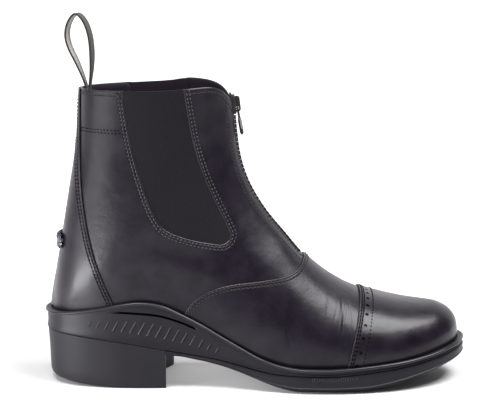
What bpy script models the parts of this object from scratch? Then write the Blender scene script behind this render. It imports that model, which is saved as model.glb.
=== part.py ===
"""Zip-front jodhpur boot, one right boot standing empty on its sole.

The upper is a hollow leather wall lofted through fanned sections of the last. The sections start
upright at the toe, lean back over the instep and lie nearly flat at the collar. Sizes are in
millimetres: x runs from the back of the heel to the toe, y from the outer to the inner side of the
foot and z up from the floor. The finished model is in metres, with its origin on the floor at the
middle of the sole.
"""

import math

import bmesh
import bpy
import numpy as np
from mathutils import Matrix

MM = 0.001

# Driving sizes
WALL = 2.0
LEATHER = 0.9
GAP = 0.3
INSOLE_THICKNESS = 2.4
ELASTIC_THICKNESS = 1.2
ELASTIC_RECESS = 0.5
SIDE_STEPS = 30
LOW_STEPS = 4
TOP_STEPS = 6
WELL_OUTSIDE = 70.0

# Plan outline of the last: distance from the heel, then half-widths to the outer and inner side
LAST_OUTLINE = (
    # x, outer, inner
    (4.4, 0.0, 0.0),
    (6.6, 10.0, 10.0),
    (11.0, 17.6, 17.6),
    (18.5, 23.6, 23.5),
    (30.0, 27.8, 27.5),
    (46.0, 29.9, 29.2),
    (66.0, 30.2, 28.4),
    (88.0, 30.1, 26.6),
    (108.0, 31.0, 26.0),
    (128.0, 34.2, 28.2),
    (148.0, 39.0, 33.2),
    (168.0, 43.1, 39.0),
    (184.0, 44.2, 42.6),
    (199.0, 43.6, 43.9),
    (214.0, 41.2, 43.4),
    (228.0, 37.8, 41.5),
    (241.0, 32.2, 37.9),
    (252.0, 25.4, 32.8),
    (261.0, 17.0, 26.6),
    (267.5, 7.2, 19.2),
    (271.0, -6.5, 6.5),
)

# Sections of the last, toe to collar. The low point is on the feather edge under the foot, and from
# heel_back on it climbs the back of the boot. The top point is on the ridge of vamp and shin.
SECTION_COLUMNS = (
    "low_x low_z top_x top_z wide_outer wide_inner wide_at low_round top_round ridge_y"
).split()
SECTIONS = {
    "toe_point": (271.0, 23.6, 271.0, 28.6, 0.0, 0.0, 0.30, 2.0, 2.00, 6.5),
    "toe_face": (270.0, 23.4, 270.7, 33.6, 6.6, 6.6, 0.30, 2.0, 2.00, 6.5),
    "toe_brow": (267.0, 22.9, 269.2, 38.6, 14.2, 14.2, 0.28, 2.0, 2.00, 6.4),
    "toe_dome": (262.0, 22.0, 265.2, 43.1, 20.9, 20.9, 0.26, 2.0, 2.05, 6.2),
    "toe_roof": (255.0, 20.8, 258.2, 46.4, 27.2, 27.2, 0.25, 2.0, 2.10, 6.0),
    "toe_box": (246.0, 19.2, 248.0, 47.8, 33.2, 33.2, 0.24, 2.0, 2.15, 5.7),
    "cap_middle": (235.0, 17.6, 235.8, 49.4, 38.2, 38.2, 0.23, 2.0, 2.20, 5.2),
    "cap_back": (221.0, 15.8, 220.8, 52.8, 42.1, 42.1, 0.22, 2.0, 2.20, 4.6),
    "cap_line": (205.0, 14.4, 204.8, 57.9, 44.3, 44.3, 0.21, 2.0, 2.15, 3.7),
    "ball": (187.0, 13.6, 186.8, 67.9, 44.7, 44.7, 0.20, 2.0, 2.05, 2.4),
    "vamp": (168.0, 13.8, 170.2, 82.0, 42.6, 42.6, 0.20, 2.0, 2.00, 1.0),
    "instep": (150.0, 16.0, 157.6, 96.8, 39.3, 38.6, 0.22, 2.0, 1.95, 0.3),
    "high_instep": (132.0, 20.6, 147.8, 108.5, 36.0, 34.6, 0.25, 2.0, 1.95, 0.0),
    "waist": (112.0, 26.2, 140.2, 119.5, 33.6, 31.6, 0.30, 2.0, 2.00, 0.0),
    "arch": (90.8, 32.2, 134.9, 129.3, 32.6, 31.4, 0.36, 2.0, 2.00, 0.0),
    "shank": (64.4, 37.2, 131.3, 138.1, 33.4, 32.6, 0.41, 2.0, 2.00, 0.0),
    "heel_front": (42.8, 39.7, 129.0, 146.2, 34.9, 34.7, 0.44, 2.0, 2.00, 0.0),
    "heel_middle": (26.0, 41.0, 127.6, 153.4, 35.6, 35.5, 0.46, 2.0, 2.00, 0.0),
    "heel_cup": (14.0, 41.6, 126.8, 159.8, 36.0, 36.0, 0.47, 2.0, 2.00, 0.0),
    "heel_curve": (6.8, 41.9, 126.2, 165.3, 36.1, 36.1, 0.47, 2.0, 2.00, 0.0),
    "heel_back": (4.4, 42.0, 125.8, 169.8, 36.1, 36.1, 0.47, 2.0, 2.00, 0.0),
    "counter": (5.4, 56.0, 125.4, 173.9, 36.0, 36.0, 0.47, 2.0, 2.00, 0.0),
    "counter_top": (9.3, 77.5, 124.9, 178.0, 35.9, 35.9, 0.47, 2.0, 2.00, 0.0),
    "ankle": (14.1, 103.5, 124.4, 182.2, 35.8, 35.8, 0.47, 2.0, 2.00, 0.0),
    "low_shaft": (18.8, 131.0, 123.8, 186.6, 35.9, 35.9, 0.47, 2.0, 2.00, 0.0),
    "shaft": (23.0, 158.5, 123.2, 191.3, 36.3, 36.3, 0.47, 2.0, 2.00, 0.0),
    "collar": (25.6, 197.0, 122.4, 197.6, 37.0, 37.0, 0.47, 2.0, 2.00, 0.0),
}
FOOT_SECTIONS = list(SECTIONS)[: list(SECTIONS).index("heel_back") + 1]
# A row between neighbouring sections is added only here, where the shape turns fastest
FINE_FROM, FINE_TO = "cap_line", "heel_front"

# Sole: how far it stands out past the last, and its heights along the foot
SOLE_MARGIN = (
    # x, margin
    (0.0, 4.5),
    (30.0, 5.4),
    (64.0, 7.0),
    (100.0, 6.8),
    (130.0, 5.8),
    (200.0, 5.4),
    (240.0, 6.0),
    (272.0, 7.0),
)
# How much of the further inset at the toe counts, along the boot
TOE_EASE = ((0.0, 0.0), (246.0, 0.0), (270.0, 1.0), (272.0, 1.0))
RIM_HEIGHT = (
    # x, z of the top of the side wall
    (0.0, 47.6),
    (12.0, 48.6),
    (37.0, 52.9),
    (50.0, 55.6),
    (64.0, 57.4),
    (78.0, 55.6),
    (90.0, 50.4),
    (104.0, 43.2),
    (117.0, 35.5),
    (131.0, 27.7),
    (141.0, 22.6),
    (152.0, 18.8),
    (165.0, 16.6),
    (182.0, 16.2),
    (199.0, 17.0),
    (234.0, 20.0),
    (252.0, 22.4),
    (264.0, 24.8),
    (278.0, 27.6),
)
PARTING_HEIGHT = (
    # x, z of the line between side wall and bottom
    (0.0, 34.8),
    (18.0, 34.2),
    (50.0, 30.9),
    (81.0, 25.7),
    (108.0, 21.2),
    (122.0, 18.3),
    (141.0, 13.8),
    (152.0, 12.0),
    (168.0, 11.4),
    (185.0, 11.4),
    (200.0, 12.2),
    (234.0, 15.6),
    (252.0, 18.4),
    (278.0, 23.2),
)
BOTTOM_HEIGHT = (
    # x, z of the tread
    (0.0, 22.0),
    (80.0, 21.6),
    (99.0, 19.2),
    (113.0, 16.0),
    (127.0, 11.6),
    (141.0, 6.4),
    (152.0, 2.6),
    (162.0, 0.4),
    (168.0, 0.0),
    (206.0, 0.0),
    (216.0, 0.8),
    (228.0, 3.3),
    (245.0, 7.4),
    (262.0, 11.6),
    (278.0, 15.2),
)
HEEL_SEAT_HEIGHT = (
    # x, z of the walking face of the heel, eased at the back
    (0.0, 5.4),
    (10.0, 3.8),
    (25.0, 1.8),
    (40.0, 0.5),
    (52.0, 0.0),
    (100.0, 0.0),
)
# Rings of each sole piece: inset from the outline, share of the way from the lower to the upper
# height line, a lift added to it, and a further inset at the toe
MIDSOLE_RINGS = (
    (1.8, 0.0, 0.15, -1.0),
    (1.1, 0.0, 0.9, -0.9),
    (1.6, 0.42, 0.0, -1.6),
    (1.5, 1.0, -2.2, -1.2),
    (0.1, 1.0, -1.7, 0.3),
    (0.0, 1.0, -0.9, 1.0),
    (0.9, 1.0, 0.0, 1.6),
)
OUTSOLE_RINGS = (
    (7.0, 0.0, 0.0, -2.5),
    (2.6, 0.16, 0.0, -1.6),
    (1.0, 0.42, 0.0, -0.9),
    (0.5, 1.0, -1.3, -0.3),
    (1.6, 1.0, -0.15, -1.0),
)
HEEL_RINGS = (
    (4.4, 0.0, 0.0, 0.0),
    (3.1, 0.07, 0.0, 0.0),
    (2.6, 0.5, 0.0, 0.0),
    (1.8, 0.92, 0.0, 0.0),
    (1.6, 1.0, -0.15, 0.0),
)
# Heel breast, oblique and hollowed: x at the outer side, in the middle and at the inner side
BREAST_OUTER, BREAST_MIDDLE, BREAST_INNER = 79.6, 74.0, 84.6
BREAST_REACH = 60.0
LEDGE_HEIGHT = 21.4
# Long slot under the rim at the waist, and the slanted ribs below it
SLOT_LINE = ((48.0, 50.6), (63.5, 49.8), (77.0, 48.3), (90.0, 44.4), (100.5, 39.9))
SLOT_DEPTH, SLOT_HEIGHT = 1.0, 1.8
RIB_COUNT = 16
RIB_LINE = ((32.0, 42.4), (63.3, 40.4), (90.3, 34.8), (114.0, 26.4))
RIB_LEAN, RIB_LENGTH, RIB_WIDTH, RIB_PROUD = 4.4, 8.0, 1.1, 0.8
RIB_END_SHARE = 0.45
RIB_ROOT = 1.2
SIDE_INSET = 1.5
PANEL_LEAD = 12.0

# Panel lines on the side of the boot, as x and z
COLLAR_LINE = (
    (10.0, 192.4),
    (40.0, 192.3),
    (70.0, 192.6),
    (95.0, 193.4),
    (109.0, 194.0),
    (116.0, 192.2),
    (121.0, 187.8),
    (124.8, 181.0),
    (130.0, 169.0),
)
# How much higher the collar stands on the inner side, most at the front corner of the gusset
COLLAR_RISE = (
    # x, rise
    (10.0, 0.0),
    (50.0, 0.4),
    (80.0, 1.2),
    (92.0, 2.6),
    (97.0, 2.6),
    (106.0, 1.4),
    (114.0, 0.4),
    (130.0, 0.0),
)
GUSSET_LINE = (
    (54.4, 200.0),
    (57.4, 175.0),
    (61.6, 153.0),
    (69.0, 127.5),
    (75.2, 112.2),
    (82.0, 103.6),
    (96.0, 97.8),
    (112.0, 94.4),
    (119.2, 94.4),
    (123.0, 99.4),
    (119.6, 107.8),
    (111.9, 123.4),
    (104.4, 141.4),
    (98.4, 163.0),
    (92.4, 200.0),
)
VAMP_LINE = (
    (82.0, 30.0),
    (92.4, 48.0),
    (98.6, 57.0),
    (108.0, 63.6),
    (122.0, 68.2),
    (141.7, 70.6),
    (156.0, 72.6),
    (165.0, 76.0),
    (169.8, 81.0),
    (171.6, 87.0),
    (174.0, 100.0),
)
CAP_LINE = ((208.6, 75.0), (206.8, 58.0), (204.3, 46.5), (200.9, 31.5), (195.5, 10.0))
BACKSTAY_LINE = (
    (26.4, 192.4),
    (26.2, 170.0),
    (26.6, 140.0),
    (28.8, 118.0),
    (33.4, 94.0),
    (40.0, 73.0),
    (47.3, 55.4),
    (54.0, 38.0),
)

# Zip: slot in the front of the upper, tape and chain along it, slider and pull at the top
ZIP_SLOT_HALF = 4.6
ZIP_REACH = 9.0
ZIP_FOOT, CHAIN_HEAD, TAPE_HEAD = 84.0, 174.2, 188.6
TAPE_HALF, TAPE_BACK, TAPE_FACE = 4.3, -1.9, -0.7
CHAIN_HALF, CHAIN_BACK, CHAIN_FACE = 2.6, -0.4, 0.5
ZIP_STEPS = 16
SLIDER_FOOT, SLIDER_HEAD = (125.4, 174.8), (123.8, 187.4)
SLIDER_HALF, SLIDER_BACK, SLIDER_FACE = 4.0, -0.3, 1.2
SLIDER_WAIST = 0.62
BRIDGE_HALF, BRIDGE_GAP, BRIDGE_BAR = 1.1, 1.9, 1.2
BRIDGE_INSET, BRIDGE_WINDOW = 1.2, 5.8
PIVOT_UP, PIVOT_OUT = 3.5, 2.15
PULL_LENGTH, PULL_HALF, PULL_BAR = 17.4, 2.7, 1.2
PULL_WINDOW_HALF, PULL_WINDOW = 1.7, 5.2
GRIP_FROM, GRIP_TO, GRIP_HALF, GRIP_THICKNESS = 6.6, 17.0, 2.2, 2.4
PULL_LEAN = math.radians(10.0)

# Pull loop of woven tape, from the seam inside the collar round and back, as x and z
LOOP_PATH = (
    (29.8, 176.0),
    (29.8, 184.0),
    (29.7, 190.5),
    (27.6, 198.0),
    (23.6, 208.0),
    (19.0, 218.0),
    (17.3, 226.0),
    (19.0, 234.0),
    (23.6, 239.4),
    (28.6, 235.0),
    (31.9, 226.0),
    (33.1, 215.0),
    (32.8, 204.0),
    (31.8, 195.0),
    (31.4, 189.0),
    (31.3, 184.0),
    (31.3, 176.0),
)
LOOP_HALF, LOOP_THICKNESS = 5.5, 1.2
LOOP_TWIST = math.radians(9.0)
LOOP_TWIST_FROM, LOOP_TWIST_TO = 192.0, 215.0
LOOP_STEPS = 2

# Spur rest: a flat roll sewn across the back of the heel
SPUR_HEIGHT, SPUR_Z, SPUR_REACH = 10.6, 92.2, 15.0
SPUR_THICKNESS = 2.0


# Curves

def smooth(rows, steps):
    """Rows of numbers read along a curve that passes through each of the given rows."""
    rows = np.array(rows, float)
    padded = np.vstack([2 * rows[0] - rows[1], rows, 2 * rows[-1] - rows[-2]])
    made = []
    for before, start, end, after in zip(padded, padded[1:], padded[2:], padded[3:]):
        for u in np.arange(steps) / steps:
            leave, arrive = (end - before) / 2, (after - start) / 2
            made.append(
                (1 + 2 * u) * (1 - u) ** 2 * start
                + u * (1 - u) ** 2 * leave
                + u * u * (3 - 2 * u) * end
                + u * u * (u - 1) * arrive
            )
    return np.array(made + [rows[-1]])


def height(table, x):
    """The second column of a table, read at x along a curve that stays between its rows."""
    steps = 8
    curve, ends = smooth(table, steps), np.array(table)[:, 1]
    lower = np.minimum(ends[:-1], ends[1:]).repeat(steps)
    upper = np.maximum(ends[:-1], ends[1:]).repeat(steps)
    values = np.append(np.clip(curve[:-1, 1], lower, upper), ends[-1])
    return np.interp(x, curve[:, 0], values)


def along(curve, shares):
    """Points at the given shares of a curve's length."""
    steps = np.linalg.norm(np.diff(curve, axis=0), axis=1)
    length = np.concatenate([[0.0], np.cumsum(steps)])
    targets = np.array(shares) * length[-1]
    return np.stack([np.interp(targets, length, column) for column in curve.T], axis=1)


def eased(count):
    """Shares from 0 to 1 that lie closer together at both ends."""
    even = np.linspace(0.0, 1.0, count + 1)
    return 0.45 * even + 0.55 * (1 - np.cos(math.pi * even)) / 2


def feather_height(x):
    """Height of the upper's lower edge, under the foot at x."""
    heel_first = np.array([SECTIONS[name][:2] for name in reversed(FOOT_SECTIONS)])
    return np.interp(x, heel_first[:, 0], heel_first[:, 1])


def last_side(side):
    """One side of the last's plan outline, heel to toe. side is -1 for outer and 1 for inner."""
    near = [(x, -outer) for x, outer, _ in LAST_OUTLINE]
    far = [(x, inner) for x, _, inner in LAST_OUTLINE]
    if side > 0:
        near, far = far, near
    steps = 24
    return smooth([far[1], *near, far[-2]], steps)[steps:-steps]


def outline_side(side, margin):
    """One side of the last's plan outline, grown by margin, a number or a table along the boot."""
    curve = last_side(side)
    tangent = np.gradient(curve, axis=0)
    tangent[0] = tangent[-1] = 0.0, side
    tangent[-1] *= -1
    tangent /= np.linalg.norm(tangent, axis=1)[:, None]
    outward = np.stack([-side * tangent[:, 1], side * tangent[:, 0]], axis=1)
    return along(curve + outward * np.reshape(margin, (-1, 1)), eased(SIDE_STEPS))


def sole_side(side, inset, toe_inset=0.0):
    """One side of the sole's plan outline, heel to toe, drawn in by inset and by toe_inset at the toe."""
    x = last_side(side)[:, 0]
    return outline_side(side, height(SOLE_MARGIN, x) - inset - toe_inset * height(TOE_EASE, x))


# Meshes

def material(name, colour, roughness, metallic=0.0):
    made = bpy.data.materials.new(name)
    made.use_nodes = True
    shader = made.node_tree.nodes["Principled BSDF"]
    shader.inputs["Base Color"].default_value = (*colour, 1.0)
    shader.inputs["Roughness"].default_value = roughness
    shader.inputs["Metallic"].default_value = metallic
    return made


def sole_middle():
    """The middle of the sole's box, which is the origin of the finished model."""
    both = np.vstack([sole_side(-1, 0.0), sole_side(1, 0.0)])
    return (both.min(axis=0) + both.max(axis=0)) / 2


MIDDLE = sole_middle()


def mesh_object(name, points, faces, finish=None):
    """An object from points in millimetres, with its faces turned outwards."""
    placed = (np.array(points, float) - (MIDDLE[0], MIDDLE[1], 0.0)) * MM
    mesh = bpy.data.meshes.new(name)
    mesh.from_pydata(placed.tolist(), [], [tuple(map(int, face)) for face in faces])
    made = bmesh.new()
    made.from_mesh(mesh)
    bmesh.ops.recalc_face_normals(made, faces=made.faces)
    made.to_mesh(mesh)
    made.free()
    mesh.shade_smooth()
    mesh.set_sharp_from_angle(angle=math.radians(38.0))
    item = bpy.data.objects.new(name, mesh)
    bpy.context.scene.collection.objects.link(item)
    if finish:
        mesh.materials.append(finish)
    else:
        item.hide_render = True
        item.display_type = "WIRE"
    return item


def combine(item, other, operation):
    """Cuts, joins or trims an object with another one, which is then only a tool."""
    step = item.modifiers.new(f"{operation.lower()} {other.name}", "BOOLEAN")
    step.operation = operation
    step.object = other
    step.solver = "EXACT"
    return item


def skin(name, faces, low, high, finish=None):
    """A closed sheet between two layers of points that share the same faces."""
    faces = [tuple(face) for face in faces]
    used = sorted({corner for face in faces for corner in face})
    place = {corner: index for index, corner in enumerate(used)}
    count = len(used)
    edges = {(a, b) for face in faces for a, b in zip(face, face[1:] + face[:1])}
    rim = [edge for edge in edges if edge[::-1] not in edges]
    closed = [[place[c] + count for c in face] for face in faces]
    closed += [[place[c] for c in reversed(face)] for face in faces]
    closed += [[place[b], place[a], place[a] + count, place[b] + count] for a, b in rim]
    return mesh_object(name, np.vstack([low[used], high[used]]), closed, finish)


def prism(name, outline, y_low, y_high):
    """A side-view outline of x and z pulled straight across the boot, as a cutting tool."""
    count = len(outline)
    points = [(x, y, z) for y in (y_low, y_high) for x, z in outline]
    faces = [list(range(count)), list(range(2 * count - 1, count - 1, -1))]
    for a in range(count):
        b = (a + 1) % count
        faces.append([b, a, a + count, b + count])
    return mesh_object(name, points, faces)


def plan_prism(name, outline, z_low, z_high):
    """A plan outline of x and y pulled straight up, as a cutting tool."""
    count = len(outline)
    points = [(x, y, z) for z in (z_low, z_high) for x, y in outline]
    faces = [list(range(count)), list(range(2 * count - 1, count - 1, -1))]
    for a in range(count):
        b = (a + 1) % count
        faces.append([a, b, b + count, a + count])
    return mesh_object(name, points, faces)


def sweep(name, rings, finish=None):
    """A solid through rings of points, closed by a face at each end."""
    count = len(rings[0])
    faces = [list(range(count)), [len(rings) * count - 1 - k for k in range(count)]]
    for ring in range(len(rings) - 1):
        for a in range(count):
            b = (a + 1) % count
            low, high = ring * count, (ring + 1) * count
            faces.append([low + a, low + b, high + b, high + a])
    return mesh_object(name, np.vstack(rings), faces, finish)


# The upper's own form

class Form:
    """Points of the upper's outer face, with their outward directions.

    Each section gives one row of points on each side, from the low edge to the ridge. The two sides
    share their points along the ridge, down the toe and up the back.
    """

    def __init__(self):
        names = list(SECTIONS)
        fine = range(names.index(FINE_FROM), names.index(FINE_TO))
        rows = smooth(list(SECTIONS.values()), 2)
        kept = [k for k in range(len(rows)) if k % 2 == 0 or k // 2 in fine]
        self.rows = [dict(zip(SECTION_COLUMNS, rows[k])) for k in kept]
        self.row_of = {name: kept.index(2 * k) for k, name in enumerate(names)}
        self.heel_back = self.row_of["heel_back"]
        self.across = LOW_STEPS + TOP_STEPS
        points = []
        self.index = {}
        for i, row in enumerate(self.rows):
            for side in (-1, 1):
                for j, point in enumerate(self.section(i, row, side)):
                    shared = i == 0 or j == self.across or (j == 0 and i >= self.heel_back)
                    if shared and side > 0:
                        self.index[side, i, j] = self.index[-1, i, j]
                        continue
                    self.index[side, i, j] = len(points)
                    points.append(point)
        self.points = np.array(points)
        foot = range(self.heel_back + 1)
        self.feather = sorted({self.index[side, i, 0] for side in (-1, 1) for i in foot})
        self.normals = self.outward()

    def section(self, i, row, side):
        """Points of one side of a section, from its low edge to the ridge."""
        low_x, low_z = row["low_x"], row["low_z"]
        if i <= self.heel_back:
            low_x = min(max(low_x, LAST_OUTLINE[0][0]), LAST_OUTLINE[-1][0])
            low_z = feather_height(low_x)
            outer, inner = (np.interp(low_x, *last_side(s).T) for s in (-1, 1))
            low_half, low_y = (inner - outer) / 2, (inner + outer) / 2
        else:
            low_half, low_y = 0.0, 0.0
        wide = max(row["wide_outer" if side < 0 else "wide_inner"], 1e-6)
        if i == 0:
            low_half = wide = 0.0
        at, low_round, top_round = row["wide_at"], row["low_round"], row["top_round"]
        closing = 1 - (low_half / wide) ** low_round if wide else 1.0
        spread = math.asin(math.sqrt(min(max(closing, 0.1), 1.0)))
        made = []
        for k in range(LOW_STEPS):
            q = (math.sin(spread * (1 - k / LOW_STEPS)) / math.sin(spread)) ** (2 / low_round)
            made.append((at * (1 - q), wide * max(1 - closing * q**low_round, 0) ** (1 / low_round)))
        for k in range(TOP_STEPS + 1):
            angle = k / TOP_STEPS * math.pi / 2
            rise = math.sin(angle) ** (2 / top_round)
            half = max(math.cos(angle), 0.0) ** (2 / top_round) if k < TOP_STEPS else 0.0
            made.append((at + (1 - at) * rise, wide * half))
        points = []
        for t, half in made:
            x = low_x + t * (row["top_x"] - low_x)
            z = low_z + t * (row["top_z"] - low_z)
            points.append((x, low_y + t * (row["ridge_y"] - low_y) + side * half, z))
        return points

    def faces(self, first=0, last=None, sides=(-1, 1)):
        """Triangles between two sections, each square split along its shorter diagonal."""
        last = len(self.rows) - 1 if last is None else last
        made = []
        for side in sides:
            for i in range(first, last):
                for j in range(self.across):
                    corners = ((i, j), (i, j + 1), (i + 1, j + 1), (i + 1, j))
                    a, b, c, d = (self.index[(side, *corner)] for corner in corners)
                    halves = ((a, b, d), (b, c, d))
                    if self.distance(a, c) < self.distance(b, d):
                        halves = ((a, b, c), (a, c, d))
                    made += [face[::side] for face in halves if len(set(face)) == 3]
        return made

    def distance(self, a, b):
        return np.linalg.norm(self.points[a] - self.points[b])

    def outward(self):
        """Directions away from the upper, level along the feather edge."""
        normals = np.zeros_like(self.points)
        for face in self.faces():
            corners = self.points[list(face)]
            normals[list(face)] += np.cross(corners[1] - corners[0], corners[2] - corners[0])
        normals[self.feather, 2] = 0.0
        normals /= np.linalg.norm(normals, axis=1)[:, None]
        centre = self.points.mean(axis=0)
        ahead = ((self.points - centre) * normals).sum()
        return normals if ahead > 0 else -normals

    def at(self, offset, lift=0.0):
        """The outer face moved outwards by offset, with its feather edge raised by lift."""
        moved = self.points + self.normals * offset
        moved[self.feather, 2] += lift
        return moved

    def filled(self, name, offset, lift):
        """The whole form as one closed body, with strips across its two openings."""
        last = len(self.rows) - 1
        faces = self.faces()
        bottom = [[self.index[s, i, 0] for s in (-1, 1)] for i in range(self.heel_back + 1)]
        top = [[self.index[s, last, j] for s in (-1, 1)] for j in range(self.across + 1)]
        for strip in (bottom, top):
            for (a, b), (c, d) in zip(strip, strip[1:]):
                faces.append([corner for corner in dict.fromkeys((a, b, d, c))])
        return mesh_object(name, self.at(offset, lift), faces)

    def ridge(self, z_from, z_to, steps):
        """Points up the shin from one height to another, with their directions outwards."""
        rows = smooth([SECTIONS[name][2:4] for name in SECTIONS], 12)
        heights = np.linspace(z_from, z_to, 8 * steps)
        shin = np.stack([np.interp(heights, rows[:, 1], rows[:, 0]), heights], axis=1)
        line = along(shin, np.linspace(0, 1, steps + 1))
        run = np.gradient(line, axis=0)
        run /= np.linalg.norm(run, axis=1)[:, None]
        return line, np.stack([run[:, 1], -run[:, 0]], axis=1)


def shifted(line, distance):
    """A side-view line moved sideways, to the right of its run."""
    line = np.array(line)
    run = np.gradient(line, axis=0)
    run /= np.linalg.norm(run, axis=1)[:, None]
    return line + np.stack([run[:, 1], -run[:, 0]], axis=1) * distance


def region(line, corners, grow=0.0):
    """A side-view outline from a smooth panel line closed through far corners."""
    return [*map(tuple, shifted(smooth(line, 4), grow)), *corners]


# Regions of the panels, as side-view outlines

def collar_line(side):
    """The top edge of the upper on its outer or inner side."""
    line = smooth(COLLAR_LINE, 4)
    if side > 0:
        line[:, 1] += height(COLLAR_RISE, line[:, 0])
    return line


def above_collar(side):
    corners = ((200.0, 168.0), (200.0, 260.0), (-40.0, 260.0), (-40.0, COLLAR_LINE[0][1]))
    return [*map(tuple, collar_line(side)), *corners]


def vamp_region(grow=0.0):
    return region(VAMP_LINE, ((320.0, 100.0), (320.0, -20.0), (82.0, -20.0)), -grow)


def cap_region(grow=0.0):
    return region(CAP_LINE, ((320.0, 10.0), (320.0, 75.0)), grow)


def backstay_region(grow=0.0):
    return region(BACKSTAY_LINE, ((-40.0, 38.0), (-40.0, BACKSTAY_LINE[0][1])), -grow)


def gusset_region(shrink=0.0):
    return shifted(smooth(GUSSET_LINE, 3), -shrink)


def below_collar(line, side):
    """The part of a side-view line under the collar, with its two ends on the collar."""
    over = line[:, 1] - np.interp(line[:, 0], *collar_line(side).T)
    inside = np.flatnonzero(over < 0)
    ends = []
    for kept, dropped in ((inside[0], inside[0] - 1), (inside[-1], inside[-1] + 1)):
        share = over[kept] / (over[kept] - over[dropped])
        ends.append(line[kept] + share * (line[dropped] - line[kept]))
    return np.vstack([ends[0], line[inside], ends[1]])


# Upper and what is sewn to it

def make_upper(form, leather):
    """One hollow wall, cut open at the collar, the two gussets and the zip."""
    upper = skin("upper", form.faces(), form.at(-WALL), form.at(0.0), leather)
    for side, name in ((-1, "outer"), (1, "inner")):
        ends = sorted((-side * GAP, side * WELL_OUTSIDE))
        combine(upper, prism(f"collar_{name}_tool", above_collar(side), *ends), "DIFFERENCE")
        ends = sorted((side * 8.0, side * WELL_OUTSIDE))
        combine(upper, prism(f"gusset_{name}_tool", gusset_region(), *ends), "DIFFERENCE")
    combine(upper, zip_slot(form), "DIFFERENCE")
    return upper


def zip_slot(form):
    """The tool that opens the front from above the collar down to the foot of the zip."""
    line, out = form.ridge(ZIP_FOOT, SECTIONS["collar"][3], ZIP_STEPS)
    front, back = line + out * ZIP_REACH, line - out * ZIP_REACH
    outline = [*map(tuple, front), *map(tuple, back[::-1])]
    return prism("zip_slot_tool", outline, -ZIP_SLOT_HALF, ZIP_SLOT_HALF)


def make_vamp(form, leather):
    """Leather over the forefoot, from its seam on the quarters to under the toe cap."""
    faces = form.faces(form.row_of["cap_middle"], form.row_of["shank"])
    vamp = skin("vamp", faces, form.at(GAP), form.at(GAP + LEATHER), leather)
    combine(vamp, prism("vamp_tool", vamp_region(), -WELL_OUTSIDE, WELL_OUTSIDE), "INTERSECT")
    return vamp


def make_toe_cap(form, leather):
    """Leather cap over the vamp, cut between two larger forms of the upper."""
    inner = LEATHER + 2 * GAP
    faces = form.faces(0, form.row_of["ball"])
    cap = skin("toe_cap", faces, form.at(inner), form.at(inner + LEATHER), leather)
    return combine(cap, prism("cap_tool", cap_region(), -WELL_OUTSIDE, WELL_OUTSIDE), "INTERSECT")


def make_backstay(form, leather):
    """Strip up the back of the boot, flaring over the counter at the heel."""
    faces = form.faces(form.row_of["arch"])
    stay = skin("backstay", faces, form.at(GAP), form.at(GAP + LEATHER), leather)
    region_tool = prism("backstay_tool", backstay_region(), -WELL_OUTSIDE, WELL_OUTSIDE)
    return combine(stay, region_tool, "INTERSECT")


def make_gusset(form, side, name, elastic):
    """Elastic panel in its cut-out, set a little below the face of the leather."""
    face = -ELASTIC_RECESS
    faces = form.faces(form.row_of["high_instep"], sides=(side,))
    low, high = form.at(face - ELASTIC_THICKNESS), form.at(face)
    gusset = skin(name, faces, low, high, elastic)
    ends = sorted((side * 8.0, side * WELL_OUTSIDE))
    outline = below_collar(gusset_region(GAP), side)
    return combine(gusset, prism(f"{name}_trim_tool", outline, *ends), "INTERSECT")


def make_spur_rest(form, leather):
    """Flat roll across the back of the heel, on the backstay."""
    inner = 2 * GAP + LEATHER
    faces = form.faces(form.row_of["heel_back"])
    rest = skin("spur_rest", faces, form.at(inner), form.at(inner + SPUR_THICKNESS), leather)
    half, corner = SPUR_HEIGHT / 2, SPUR_HEIGHT / 4
    outline = [(-20.0, SPUR_Z - half), (SPUR_REACH - corner, SPUR_Z - half)]
    outline += [(SPUR_REACH, SPUR_Z - corner), (SPUR_REACH, SPUR_Z + corner)]
    outline += [(SPUR_REACH - corner, SPUR_Z + half), (-20.0, SPUR_Z + half)]
    return combine(rest, prism("spur_tool", outline, -WELL_OUTSIDE, WELL_OUTSIDE), "INTERSECT")


def make_pull_loop(webbing):
    """Loop of woven tape with both ends sewn inside the back of the collar."""
    line = smooth(LOOP_PATH, LOOP_STEPS)
    run = np.gradient(line, axis=0)
    run /= np.linalg.norm(run, axis=1)[:, None]
    rings = []
    for (x, z), (run_x, run_z) in zip(line, run):
        share = (z - LOOP_TWIST_FROM) / (LOOP_TWIST_TO - LOOP_TWIST_FROM)
        twist = LOOP_TWIST * min(max(share, 0.0), 1.0)
        across = np.array((math.sin(twist), math.cos(twist), 0.0)) * LOOP_HALF
        thick = np.array((-run_z, 0.0, run_x)) * LOOP_THICKNESS / 2
        centre = np.array((x, 0.0, z))
        rings.append([centre + a * across + b * thick for a, b in ((1, 1), (-1, 1), (-1, -1), (1, -1))])
    return sweep("pull_loop", np.array(rings), webbing)


# Zip

def zip_strip(name, form, head, half, back, face, finish):
    """A strip along the zip, from its foot up to the height of its head."""
    line, out = form.ridge(ZIP_FOOT + 2 * GAP, head, ZIP_STEPS)
    rings = []
    for (x, z), (out_x, out_z) in zip(line, out):
        ring = []
        for y, away in ((-half, back), (half, back), (half, face), (-half, face)):
            ring.append((x + out_x * away, y, z + out_z * away))
        rings.append(ring)
    return sweep(name, np.array(rings), finish)


def slider_frame():
    """Foot of the slider, its direction up the zip and its direction outwards."""
    foot, head = np.array(SLIDER_FOOT), np.array(SLIDER_HEAD)
    up = (head - foot) / np.linalg.norm(head - foot)
    return foot, up, np.array((up[1], -up[0])), np.linalg.norm(head - foot)


def slider_point(along_zip, y, away):
    foot, up, out, _ = slider_frame()
    x, z = foot + up * along_zip + out * away
    return x, y, z


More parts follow.
